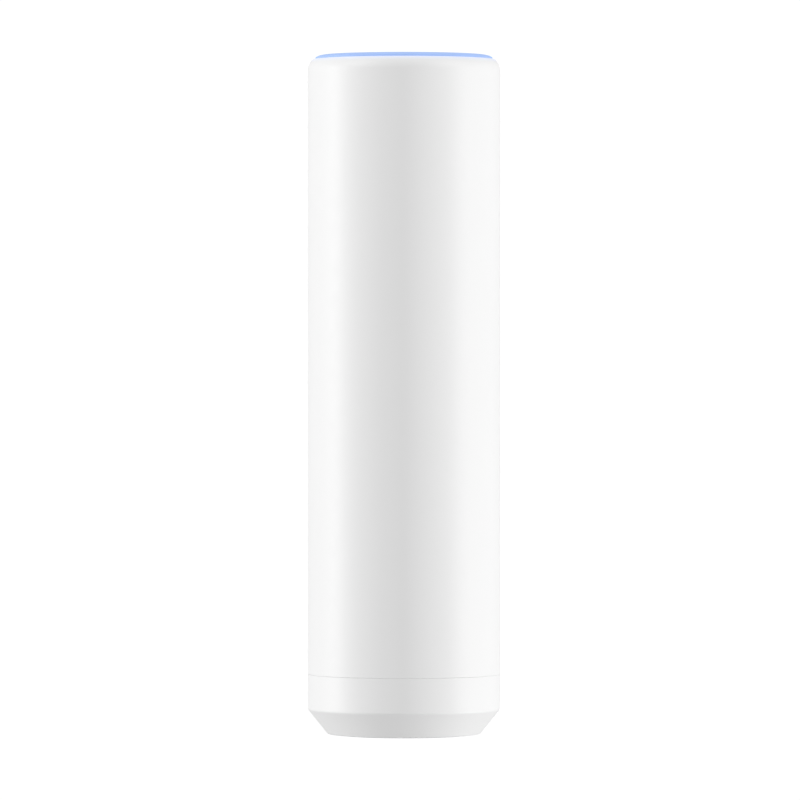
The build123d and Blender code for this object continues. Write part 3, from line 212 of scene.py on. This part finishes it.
def slab(near, far, thickness, low, high, angle):
    """An upright slab that points out from the axis at an angle, between two distances."""
    half = thickness / 2
    c, s = cos(angle), sin(angle)
    corners = [(near, -half), (far, -half), (far, half), (near, half)]
    return post([(a * c - b * s, a * s + b * c) for a, b in corners], low, high)


def soften(obj, width):
    """Rounds the edges the booleans left, and shades the result smooth up to an angle."""
    edge = obj.modifiers.new("soften", "BEVEL")
    edge.width = width
    edge.segments = 2
    edge.limit_method = "ANGLE"
    edge.angle_limit = radians(40)
    apply_modifiers(obj)
    obj.data.shade_smooth()
    obj.data.set_sharp_from_angle(angle=radians(SMOOTH_TO))


def weigh(obj):
    """Lets the large faces set the shading where they meet small ones."""
    step = obj.modifiers.new("weigh", "WEIGHTED_NORMAL")
    step.keep_sharp = True
    apply_modifiers(obj)


def combine(target, tool, operation):
    """Applies one boolean to target and removes the tool."""
    step = target.modifiers.new("step", "BOOLEAN")
    step.operation = operation
    step.solver = "EXACT"
    step.object = tool
    apply_modifiers(target)
    bpy.data.objects.remove(tool)


def apply_modifiers(obj):
    """Makes the modified mesh the object's own."""
    graph = bpy.context.evaluated_depsgraph_get()
    made = bpy.data.meshes.new_from_object(obj.evaluated_get(graph))
    obj.modifiers.clear()
    obj.data = made


# ---- Camera, light and floor ---------------------------------------------------------------
def make_camera():
    """A long lens, a little above the node's middle and looking slightly down."""
    data = bpy.data.cameras.new("camera")
    data.lens = 309.85
    data.sensor_width = 36.0
    camera = bpy.data.objects.new("camera", data)
    bpy.context.scene.collection.objects.link(camera)
    aside, distance, height, aim_height = -0.00098, 1.70, 0.0996, 0.08257
    place = Vector((aside, -distance, height))
    target = Vector((aside, 0.0, aim_height))
    camera.location = place
    camera.rotation_mode = "QUATERNION"
    camera.rotation_quaternion = (target - place).to_track_quat("-Z", "Y")
    bpy.context.scene.camera = camera


def make_light(name, place, size, power, target):
    """A rectangular soft light, aimed at a point."""
    data = bpy.data.lights.new(name, "AREA")
    data.shape = "RECTANGLE"
    data.size, data.size_y = size
    data.energy = power
    light = bpy.data.objects.new(name, data)
    bpy.context.scene.collection.objects.link(light)
    light.location = place
    aim = Vector(target) - Vector(place)
    light.rotation_euler = aim.to_track_quat("-Z", "Y").to_euler()


def make_strip(name, azimuth, height, power):
    """A tall, narrow light that stands beside the node and looks at its axis."""
    distance, size = 1.6, (0.16, 1.08)
    place = (distance * cos(radians(azimuth)), distance * sin(radians(azimuth)), height)
    make_light(name, place, size, power, (0.0, 0.0, height))


def make_world(strength):
    """Even light from all round."""
    world = bpy.data.worlds.new("studio")
    bpy.context.scene.world = world
    world.use_nodes = True
    background = world.node_tree.nodes["Background"]
    background.inputs["Color"].default_value = (1.0, 1.0, 1.0, 1.0)
    background.inputs["Strength"].default_value = strength


def make_stage():
    """A white floor and a white surround that only the camera sees, so that they cast no light."""
    glow = bpy.data.materials.new("stage_white")
    glow.use_nodes = True
    nodes, links = glow.node_tree.nodes, glow.node_tree.links
    nodes.clear()
    geometry = nodes.new("ShaderNodeNewGeometry")
    emission = nodes.new("ShaderNodeEmission")
    clear = nodes.new("ShaderNodeBsdfTransparent")
    mix = nodes.new("ShaderNodeMixShader")
    output = nodes.new("ShaderNodeOutputMaterial")
    emission.inputs["Strength"].default_value = 1.05
    links.new(geometry.outputs["Backfacing"], mix.inputs[0])
    links.new(emission.outputs[0], mix.inputs[1])
    links.new(clear.outputs[0], mix.inputs[2])
    links.new(mix.outputs[0], output.inputs["Surface"])

    bpy.ops.mesh.primitive_plane_add(size=7.0, location=(0, 0, 0))
    floor = bpy.context.object
    floor.name = "floor"
    bpy.ops.mesh.primitive_uv_sphere_add(radius=5.0, segments=48, ring_count=24)
    surround = bpy.context.object
    surround.name = "surround"
    surround.data.flip_normals()
    for part in (floor, surround):
        part.data.materials.append(glow)
        part.visible_diffuse = False
        part.visible_glossy = False
        part.visible_transmission = False
        part.visible_shadow = False


make_camera()
make_world(0.575)
make_strip("left_strip", 180, 0.084, 9.2)
make_strip("left_low_strip", 180, -1.0, 1.7)
make_strip("left_high_strip", 208, 1.16, 9.3)
make_strip("right_strip", -14, 0.084, 5.2)
make_strip("right_low_strip", 0, -1.0, 11.3)
make_strip("right_high_strip", -28, 1.16, 8.8)
make_light("top_panel", (0.0, 0.0, 2.0), (1.2, 1.2), 2.1, (0.0, 0.0, 0.0))
make_stage()
bpy.context.scene.view_settings.view_transform = "Standard"


# ---- Materials -----------------------------------------------------------------------------
class Finish:
    """A procedural material: a Principled shader with detail added through small steps."""

    def __init__(self, name, colour, roughness, metallic=0.0, specular=0.5):
        self.material = bpy.data.materials.new(name)
        self.material.use_nodes = True
        self.tree = self.material.node_tree
        self.shader = self.tree.nodes["Principled BSDF"]
        self.colour = (*colour, 1.0)
        self.shader.inputs["Base Color"].default_value = self.colour
        self.shader.inputs["Roughness"].default_value = roughness
        self.shader.inputs["Metallic"].default_value = metallic
        self.shader.inputs["Specular IOR Level"].default_value = specular
        self.roughness = roughness
        self.height = None
        self.coords = self.tree.nodes.new("ShaderNodeTexCoord").outputs["Object"]

    def node(self, kind, **inputs):
        """A new node with the given inputs: values, or sockets to link."""
        made = self.tree.nodes.new(kind)
        for key, value in inputs.items():
            socket = made.inputs[int(key[1:]) if key[0] == "_" else key.replace("_", " ")]
            if isinstance(value, bpy.types.NodeSocket):
                self.tree.links.new(value, socket)
            else:
                socket.default_value = value
        return made

    def stretched(self, scale):
        """The object's coordinates, scaled per axis."""
        return self.node("ShaderNodeMapping", Vector=self.coords, Scale=scale).outputs[0]

    def noise(self, size, detail=2.0, stretch=None):
        """A noise whose features are about size metres across, as a 0 to 1 value."""
        where = self.stretched(stretch) if stretch else self.coords
        return self.node(
            "ShaderNodeTexNoise", Vector=where, Scale=1 / size, Detail=detail
        ).outputs["Fac"]

    def ranged(self, value, low, high, from_low=0.3, from_high=0.7):
        """A value mapped from one range to another, clamped."""
        made = self.node("ShaderNodeMapRange", Value=value)
        made.inputs["From Min"].default_value = from_low
        made.inputs["From Max"].default_value = from_high
        made.inputs["To Min"].default_value = low
        made.inputs["To Max"].default_value = high
        return made.outputs[0]

    def mixed(self, share, first, second):
        """A colour between two colours or colour sockets, by the share that a socket gives."""
        made = self.tree.nodes.new("ShaderNodeMix")
        made.data_type = "RGBA"
        for index, value in ((0, share), (6, first), (7, second)):
            if isinstance(value, bpy.types.NodeSocket):
                self.tree.links.new(value, made.inputs[index])
            else:
                made.inputs[index].default_value = (*value[:3], 1.0)
        return made.outputs[2]

    def paint(self, socket):
        """Feeds a colour to the shader's base colour."""
        self.tree.links.new(socket, self.shader.inputs["Base Color"])

    def mottle(self, amount, size=0.006):
        """A faint unevenness of colour, as moulded and worn surfaces have."""
        light = [min(1.0, c * (1 + amount)) for c in self.colour[:3]]
        dark = [c * (1 - amount) for c in self.colour[:3]]
        self.paint(self.mixed(self.noise(size, 3.0), dark, light))

    def vary_roughness(self, amount, size=0.004, stretch=None):
        """Roughness that wanders by that amount either way."""
        value = self.noise(size, 3.0, stretch)
        spread = self.ranged(value, self.roughness - amount, self.roughness + amount)
        self.tree.links.new(spread, self.shader.inputs["Roughness"])

    def grain(self, size, depth, detail=2.0, stretch=None):
        """Fine relief: features of that size, with that depth in metres."""
        self.relief(self.noise(size, detail, stretch), depth)

    def relief(self, value, depth):
        """Adds a 0 to 1 height with that depth in metres to the surface's relief."""
        bump = self.node("ShaderNodeBump", Height=value, Distance=depth, Strength=1.0)
        if self.height is not None:
            self.tree.links.new(self.height, bump.inputs["Normal"])
        self.height = bump.outputs[0]
        self.tree.links.new(self.height, self.shader.inputs["Normal"])

    def axis(self, letter):
        """One of the object's coordinates, in metres."""
        return self.node("ShaderNodeSeparateXYZ", _0=self.coords).outputs[letter]

    def square(self, value):
        """A value times itself."""
        return self.math("MULTIPLY", value, value)

    def math(self, operation, first, second=0.0):
        """One math step."""
        made = self.node("ShaderNodeMath", _0=first, _1=second)
        made.operation = operation
        return made.outputs[0]


def satin_white():
    """Fine spark-eroded white plastic, as on the shell and the base, with a painted blue glow
    beside the lit ring.
    """
    ring_radius, ring_height = 20.7 * MM, 166.6 * MM  # the middle of the lit ring's section
    glow_near, glow_far = 1.7 * MM, 2.9 * MM
    finish = Finish("satin_white", (0.86, 0.86, 0.86), 0.46)
    finish.mottle(0.006, 0.012)
    finish.vary_roughness(0.03, 0.003)
    finish.grain(0.00022, 0.000004, 3.0)
    # Painted glow: a blue emission, strongest next to the lit ring and fading with distance from
    # it, stands in for the ring's light soaking a little way into the plastic beside it.
    x, y = finish.axis("X"), finish.axis("Y")
    out = finish.math("SQRT", finish.math("ADD", finish.square(x), finish.square(y)))
    across = finish.math("SUBTRACT", out, ring_radius)
    up = finish.math("SUBTRACT", finish.axis("Z"), ring_height)
    away = finish.math("SQRT", finish.math("ADD", finish.square(across), finish.square(up)))
    near = finish.ranged(away, 1, 0, glow_near, glow_far)
    # the painted glow's strength, from nearness to the ring
    glow = finish.math("MULTIPLY", finish.square(near), 0.26)
    finish.shader.inputs["Emission Color"].default_value = (0.0, 0.25, 1.0, 1.0)
    finish.tree.links.new(glow, finish.shader.inputs["Emission Strength"])
    return finish


def lit_diffuser():
    """Frosted plastic lit blue from inside, a trace brighter over each LED."""
    finish = Finish("lit_diffuser", (0.28, 0.36, 0.52), 0.5, specular=0.3)
    finish.grain(0.0002, 0.000003)
    finish.mottle(0.01)
    finish.shader.inputs["Emission Color"].default_value = (0.126, 0.213, 0.442, 1.0)
    turn = finish.math("ARCTAN2", finish.axis("Y"), finish.axis("X"))
    led_count = 12.0
    ripple = finish.math("COSINE", finish.math("MULTIPLY", turn, led_count))
    strength = finish.ranged(ripple, 1.02, 0.98, -1.0, 1.0)
    finish.tree.links.new(strength, finish.shader.inputs["Emission Strength"])
    return finish


def moulded(name, colour, roughness=0.55, grain=0.000006):
    """Plain moulded plastic with a fine matt grain."""
    finish = Finish(name, colour, roughness)
    finish.mottle(0.03, 0.005)
    finish.vary_roughness(0.05)
    finish.grain(0.0003, grain, 4.0)
    return finish


def rubber(name, colour, roughness=0.75):
    """Soft moulded rubber: matt, faintly cloudy and finely pitted."""
    finish = Finish(name, colour, roughness, specular=0.3)
    finish.mottle(0.08, 0.003)
    finish.vary_roughness(0.06, 0.002)
    finish.grain(0.00018, 0.00001, 5.0)
    return finish


def metal(name, colour, roughness, streak=(1, 1, 0.04), depth=0.000002):
    """Metal with fine streaks along Z, as rolling, stamping or extruding leaves."""
    finish = Finish(name, colour, roughness, metallic=1.0)
    finish.mottle(0.05, 0.004)
    finish.vary_roughness(0.08, 0.0006, streak)
    finish.grain(0.0004, depth, 3.0, streak)
    return finish


def circuit(name, mask, copper):
    """Solder mask over copper tracks, with plated vias."""
    finish = Finish(name, mask, 0.35)
    tracks = []
    for stretch in ((900, 1, 25), (25, 1, 900)):
        where = finish.stretched(stretch)
        wave = finish.node("ShaderNodeTexNoise", Vector=where, Scale=1.0, Detail=0.0)
        tracks.append(finish.ranged(wave.outputs["Fac"], 0, 1, 0.50, 0.52))
    patches = finish.ranged(finish.noise(0.007, 0.0), 0, 1, 0.47, 0.53)
    track = finish.node("ShaderNodeMix", _0=patches, _2=tracks[0], _3=tracks[1]).outputs[0]
    spots = finish.node("ShaderNodeTexVoronoi", Vector=finish.coords, Scale=420.0)
    via = finish.ranged(spots.outputs["Distance"], 1, 0, 0.10, 0.13)
    bright = [min(1.0, c * 1.6 + 0.01) for c in mask]
    masked = finish.mixed(track, mask, bright)
    finish.paint(finish.mixed(via, masked, copper))
    finish.relief(track, 0.00002)
    finish.vary_roughness(0.05, 0.003)
    return finish


def capacitor_can():
    """Bare aluminium cans on a dark plastic foot."""
    finish = Finish("capacitor_can", (0.78, 0.79, 0.80), 0.3, metallic=1.0)
    foot_face = -4.0 * MM  # the foot is between this and the board
    foot = finish.math("GREATER_THAN", finish.axis("Y"), foot_face)
    finish.paint(finish.mixed(foot, (0.78, 0.79, 0.80), (0.02, 0.02, 0.022)))
    metallic = finish.math("SUBTRACT", 1.0, foot)
    finish.tree.links.new(metallic, finish.shader.inputs["Metallic"])
    finish.grain(0.0005, 0.000003, 3.0, (1, 0.05, 1))
    finish.vary_roughness(0.06, 0.001)
    return finish


def striped(name, first, second, pitch, axis):
    """Two colours in bands across one axis, such as wound tape or a flex's conductors."""
    finish = Finish(name, first, 0.5)
    place = finish.math("DIVIDE", finish.axis(axis), pitch)
    band = finish.math("GREATER_THAN", finish.math("FRACT", place), 0.5)
    finish.paint(finish.mixed(band, first, second))
    finish.relief(band, 0.00002)
    finish.vary_roughness(0.05)
    return finish


def chip_package():
    """Matt black moulding compound."""
    return moulded("chip_package", (0.022, 0.022, 0.024), 0.62, 0.000008)


def label_film():
    """A blank silvery label."""
    finish = Finish("label_film", (0.62, 0.63, 0.65), 0.32, metallic=0.6)
    finish.mottle(0.02, 0.003)
    finish.vary_roughness(0.04, 0.002)
    finish.grain(0.0005, 0.000002)
    return finish


BY_SLOT = {
    "white_shell": satin_white,
    "light_diffuser": lit_diffuser,
    "white_inner": lambda: moulded("white_inner", (0.72, 0.73, 0.73)),
    "grey_inner": lambda: moulded("grey_inner", (0.48, 0.50, 0.52)),
    "foot_rubber": lambda: rubber("foot_rubber", (0.26, 0.27, 0.29)),
    "seal_rubber": lambda: rubber("seal_rubber", (0.02, 0.02, 0.022), 0.55),
    "board_green": lambda: circuit("board_green", (0.006, 0.075, 0.028), (0.70, 0.55, 0.30)),
    "board_white": lambda: circuit("board_white", (0.66, 0.67, 0.65), (0.75, 0.70, 0.60)),
    "black_plastic": lambda: moulded("black_plastic", (0.018, 0.018, 0.020), 0.5),
    "chip_black": chip_package,
    "tin_plate": lambda: metal("tin_plate", (0.80, 0.79, 0.76), 0.32),
    "screw_steel": lambda: metal("screw_steel", (0.66, 0.66, 0.67), 0.28, (1, 1, 1)),
    "heat_sink_metal": lambda: metal("heat_sink_metal", (0.78, 0.79, 0.80), 0.4, depth=0.000006),
    "capacitor_can": capacitor_can,
    "gold_contact": lambda: metal("gold_contact", (0.95, 0.72, 0.32), 0.22, (1, 1, 1)),
    "thermal_pad": lambda: rubber("thermal_pad", (0.32, 0.42, 0.55)),
    "ferrite": lambda: moulded("ferrite", (0.035, 0.035, 0.038), 0.5, 0.00002),
    "winding_tape": lambda: striped(
        "winding_tape", (0.70, 0.48, 0.05), (0.62, 0.40, 0.04), 1.2 * MM, "Z"
    ),
    "flex_amber": lambda: striped(
        "flex_amber", (0.55, 0.24, 0.04), (0.70, 0.40, 0.12), 0.5 * MM, "X"
    ),
    "cable_jacket": lambda: moulded("cable_jacket", (0.03, 0.03, 0.033), 0.42),
    "ceramic_tan": lambda: moulded("ceramic_tan", (0.35, 0.25, 0.16), 0.4),
    "led_lens": lambda: moulded("led_lens", (0.85, 0.84, 0.62), 0.25),
    "label_film": label_film,
    "button_grey": lambda: moulded("button_grey", (0.10, 0.105, 0.115), 0.45),
}
finishes = {slot: make().material for slot, make in BY_SLOT.items()}
slot_of = {row["node"]: row["material_slot"] for row in frame["record"]["subparts"]}


def dress(obj, slot):
    """Gives a piece its one material."""
    obj.data.materials.clear()
    obj.data.materials.append(finishes[slot])


def stand_for(obj, node):
    """Lets a new piece take a CAD node's place, body and finish."""
    weigh(obj)
    dress(obj, slot_of[node])
    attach(obj, frame["nodes"][node]["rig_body"])
    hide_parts(node)


for node_name, node_object in frame["nodes"].items():
    dress(node_object, slot_of[node_name])


# ---- Outer pieces, turned finely -----------------------------------------------------------
def shoulder_height(radius):
    """Height of the shoulder's curve at a distance from the axis."""
    return HEIGHT - SHOULDER + sqrt(SHOULDER**2 - (radius - (OUTER - SHOULDER)) ** 2)


def shoulder_angle(radius):
    """Angle on the shoulder's arc at a distance from the axis."""
    return atan2(shoulder_height(radius) - (HEIGHT - SHOULDER), radius - (OUTER - SHOULDER))


def make_shell():
    """The white tube, its shoulder, land, snap groove and rebate."""
    rebate, rebate_top = 22.95 * MM, shell_low.z + 1.5 * MM
    groove, groove_low, groove_high = 22.4 * MM, 19.3 * MM, 21.7 * MM
    foot = rounded(
        [
            (rebate, rebate_top, 0),
            (rebate, shell_low.z, 0.08 * MM),
            (OUTER - 2.5 * SEAM_EDGE, shell_low.z, 0),
            (OUTER - 2 * SEAM_EDGE, shell_low.z - SEAM_CLOSE, 0),
            (OUTER, shell_low.z - SEAM_CLOSE, SEAM_EDGE),
            (OUTER, HEIGHT - SHOULDER, 0),
        ]
    )
    centre = (OUTER - SHOULDER, HEIGHT - SHOULDER)
    shoulder = arc(centre, SHOULDER, 0.0, shoulder_angle(LAND + LAND_EDGE), radians(2))
    land = shoulder_height(LAND)
    inside = [
        (LAND, land - 0.2 * LAND_EDGE),
        (LAND - LAND_EDGE, land),
        (BORE + LAND_EDGE, land),
        (BORE, land - LAND_EDGE),
        (BORE, groove_high),
        (groove, groove_high - (groove - BORE)),
        (groove, groove_low),
        (BORE, groove_low),
        (BORE, rebate_top),
    ]
    stand_for(turned("shell", foot[:-1] + shoulder + inside), "outer_shell")


def make_ring():
    """The lit ring: the shoulder's last stretch, the ledge under the cap and the leg."""
    outer, inner, bevel = ring_high.x, 19.0 * MM, 0.25 * MM
    ledge, ledge_top = 18.3 * MM, 164.9 * MM
    leg_in, leg_out, leg_low = 19.4 * MM, 20.7 * MM, ring_low.z
    seat = 164.3 * MM
    centre = (OUTER - SHOULDER, HEIGHT - SHOULDER)
    crest = arc(centre, SHOULDER, shoulder_angle(outer - LAND_EDGE), pi / 2, radians(2))
    crest += arc((inner + bevel, HEIGHT - bevel), bevel, pi / 2, pi, radians(15))
    rest = rounded(
        [
            (inner, ledge_top, 0),
            (ledge, ledge_top, 0.05 * MM),
            (ledge, seat, 0.05 * MM),
            (leg_in, seat, 0),
            (leg_in, leg_low, 0.1 * MM),
            (leg_out, leg_low, 0.1 * MM),
            (leg_out, seat, 0),
            (outer, seat, 0.05 * MM),
            (outer, shoulder_height(outer) - LAND_EDGE, 0),
            (outer - 0.2 * LAND_EDGE, shoulder_height(outer) - 0.3 * LAND_EDGE, 0),
        ]
    )
    stand_for(turned("glow_ring", crest + rest), "light_ring")


def make_cap():
    """The flat disc inside the ring, its rim and its three barbed arms."""
    edge, top, under = cap_high.x, cap_high.z, cap_high.z - 1.6 * MM
    rim_low, rim_in = 164.9 * MM, cap_high.x - 1.25 * MM
    arm_in, arm_out, arm_root = 16.2 * MM, 17.35 * MM, under + 0.1 * MM
    barb, barb_low, barb_high = 17.9 * MM, 160.65 * MM, 160.95 * MM
    mesh = bmesh.new()
    disc = rounded(
        [
            (0, under, 0),
            (rim_in, under, 0),
            (rim_in, rim_low, 0),
            (edge, rim_low, 0.05 * MM),
            (edge, top, 0.3 * MM),
            (0, top, 0),
        ],
        radians(8),
    )
    turn_into(mesh, disc)
    arm = rounded(
        [
            (arm_in, arm_root, 0),
            (arm_in, cap_low.z, 0.2 * MM),
            (arm_out, cap_low.z, 0.1 * MM),
            (barb, barb_low, 0.1 * MM),
            (barb, barb_high, 0.1 * MM),
            (arm_out, barb_high, 0),
            (arm_out, arm_root, 0),
        ]
    )
    for middle in (60, 180, 300):
        turn_into(mesh, arm, radians(middle - 12), radians(24))
    stand_for(finish_mesh("crown_disc", mesh), "top_cap")


def make_foot():
    """The rubber ring in the base's groove, open at the duct."""
    inner, outer = 15.0 * MM, foot_high.x
    half_gap = 4.95 * MM
    gap = atan2(half_gap, (inner + outer) / 2)
    section = rounded(
        [
            (inner, foot_low.z, 0.25 * MM),
            (outer, foot_low.z, 0.25 * MM),
            (outer, foot_high.z, 0.1 * MM),
            (inner, foot_high.z, 0.1 * MM),
        ],
        radians(15),
    )
    mesh = bmesh.new()
    turn_into(mesh, section, pi / 2 + gap, 2 * pi - 2 * gap)
    stand_for(finish_mesh("foot", mesh), "foot_ring")


def make_base():
    """The chamfered base: collar, hollow, gussets, key rib, foot groove and cable duct."""
    floor, top, inner = base_low.z, base_high.z, 21.95 * MM
    collar_in, collar_out, collar_top = 14.2 * MM, 15.6 * MM, 7.0 * MM
    groove_in, groove_out, groove_top = 14.95 * MM, 17.25 * MM, floor + 0.9 * MM
    skin = 2.0 * MM  # the thickness of the foot's floor and of its slanting side
    trough_floor = floor + skin
    slope = (CHAMFER_TOP - floor) / (OUTER - FLOOR_EDGE)
    rise = skin * hypot(1, slope)
    trough_edge = FLOOR_EDGE + (skin - rise) / slope
    trough_corner = floor + (inner - FLOOR_EDGE) * slope + rise
    lead_in = inner + 0.25 * MM  # the flare that guides the seal into the base
    inside_collar = collar_out + 0.02 * MM
    body = turned(
        "base",
        rounded(
            [
                (collar_in, floor, 0.3 * MM),
                (groove_in, floor, 0),
                (groove_in, groove_top, 0),
                (groove_out, groove_top, 0),
                (groove_out, floor, 0.15 * MM),
                (FLOOR_EDGE, floor, 0.8 * MM),
                (OUTER, CHAMFER_TOP, 1.0 * MM),
                (OUTER, top + SEAM_CLOSE, SEAM_EDGE),
                (OUTER - 2 * SEAM_EDGE, top + SEAM_CLOSE, 0),
                (OUTER - 2.5 * SEAM_EDGE, top, 0),
                (inside_collar, top, 0),
                (inside_collar, collar_top, 0),
                (collar_in, collar_top, 0.25 * MM),
            ],
            radians(8),
        ),
    )
    hollow = turned(
        "hollow",
        rounded(
            [
                (collar_out, trough_floor, 0.4 * MM),
                (trough_edge, trough_floor, 0.4 * MM),
                (inner, trough_corner, 0.6 * MM),
                (inner, top - 0.15 * MM, 0),
                (lead_in, top + 0.1 * MM, 0),
                (lead_in, top + CLEAR, 0),
                (collar_out, top + CLEAR, 0),
            ],
            radians(15),
        ),
    )
    for angle in (30, 150, 210, 270, 330):
        gusset = slab(14.5 * MM, 22.5 * MM, 1.2 * MM, 0.0, 6.5 * MM, radians(angle))
        combine(hollow, gusset, "DIFFERENCE")
    wall = 1.2 * MM  # round the duct
    side, lid = DUCT_HALF + wall, DUCT_TOP + wall
    outside = [(-side, -CLEAR), (side, -CLEAR), (side, lid), (-side, lid)]
    combine(hollow, prism("block", outside, 13.0 * MM, 23.0 * MM), "DIFFERENCE")
    key = slab(20.75 * MM, 23.0 * MM, 3.6 * MM, 0.0, 10.0 * MM, pi / 2)
    combine(hollow, key, "DIFFERENCE")
    combine(body, hollow, "DIFFERENCE")
    crown = arc((0, DUCT_TOP - DUCT_HALF), DUCT_HALF, 0, pi, radians(7.5))
    tunnel = [(DUCT_HALF, -CLEAR)] + crown + [(-DUCT_HALF, -CLEAR)]
    combine(body, prism("tunnel", tunnel, 10.0 * MM, 30.0 * MM), "DIFFERENCE")
    soften(body, 0.15 * MM)
    stand_for(body, "base_cap")


def make_well():
    """The cup that closes the shell: bay, neck, seal groove, flange, snap beads and bulkhead."""
    low, top, bay, bay_top = well_low.z, 40.0 * MM, 19.2 * MM, 38.0 * MM
    neck, tube, flange = 21.55 * MM, 21.2 * MM, 22.85 * MM
    flange_low, flange_top = shell_low.z, shell_low.z + 1.0 * MM
    seal, seal_half = 11.8 * MM, 0.95 * MM
    seal_floor = 20.33 * MM
    body = turned(
        "well",
        rounded(
            [
                (bay, low, 0.3 * MM),
                (neck, low, 0.5 * MM),
                (neck, seal - seal_half, 0.1 * MM),
                (seal_floor, seal - seal_half, 0.15 * MM),
                (seal_floor, seal + seal_half, 0.15 * MM),
                (neck, seal + seal_half, 0.1 * MM),
                (neck, flange_low, 0),
                (flange, flange_low, 0.1 * MM),
                (flange, flange_top, 0.1 * MM),
                (tube, flange_top, 0),
                (tube, top, 0.4 * MM),
                (0, top, 0),
                (0, bay_top, 0),
                (bay, bay_top, 0.5 * MM),
            ]
        ),
    )
    for angle in range(45, 405, 90):
        rib = slab(21.0 * MM, 21.9 * MM, 1.2 * MM, 25.7 * MM, top, radians(angle))
        combine(body, rib, "UNION")
    jack_x, jack_low, jack_high = 8.2 * MM, -16.6 * MM, -2.9 * MM
    window = [(-jack_x, jack_low), (jack_x, jack_low), (jack_x, jack_high), (-jack_x, jack_high)]
    combine(body, post(window, bay_top - CLEAR, top + CLEAR), "DIFFERENCE")
    button_hole = round_post(13.0 * MM, -4.85 * MM, 1.75 * MM, bay_top - CLEAR, top + CLEAR)
    combine(body, button_hole, "DIFFERENCE")
    boss, screw_hole, head_hole, head_deep = 3.2 * MM, 1.25 * MM, 2.3 * MM, 1.3 * MM
    for x, y in ((-12.5 * MM, 5.8 * MM), (12.5 * MM, 5.8 * MM), (0.0, 13.0 * MM)):
        column = round_post(x, y, boss, top - 0.5 * MM, well_high.z)
        combine(body, column, "UNION")
        shaft = round_post(x, y, screw_hole, bay_top - CLEAR, well_high.z + CLEAR)
        combine(body, shaft, "DIFFERENCE")
        recess = round_post(x, y, head_hole, bay_top - CLEAR, bay_top + head_deep)
        combine(body, recess, "DIFFERENCE")
    key_slot = slab(20.05 * MM, 23.05 * MM, 4.0 * MM, low - CLEAR, 10.2 * MM, pi / 2)
    combine(body, key_slot, "DIFFERENCE")
    mesh = bmesh.new()
    bead = [(21.1, 19.4), (22.3, 19.4), (22.3, 20.1), (21.1, 22.0)]
    for angle in range(0, 360, 60):
        turn_into(mesh, [(r * MM, z * MM) for r, z in bead], radians(angle - 12), radians(24))
    combine(body, finish_mesh("beads", mesh), "UNION")
    soften(body, 0.08 * MM)
    stand_for(body, "port_well")


make_shell()
make_ring()
make_cap()
make_foot()
make_base()
make_well()
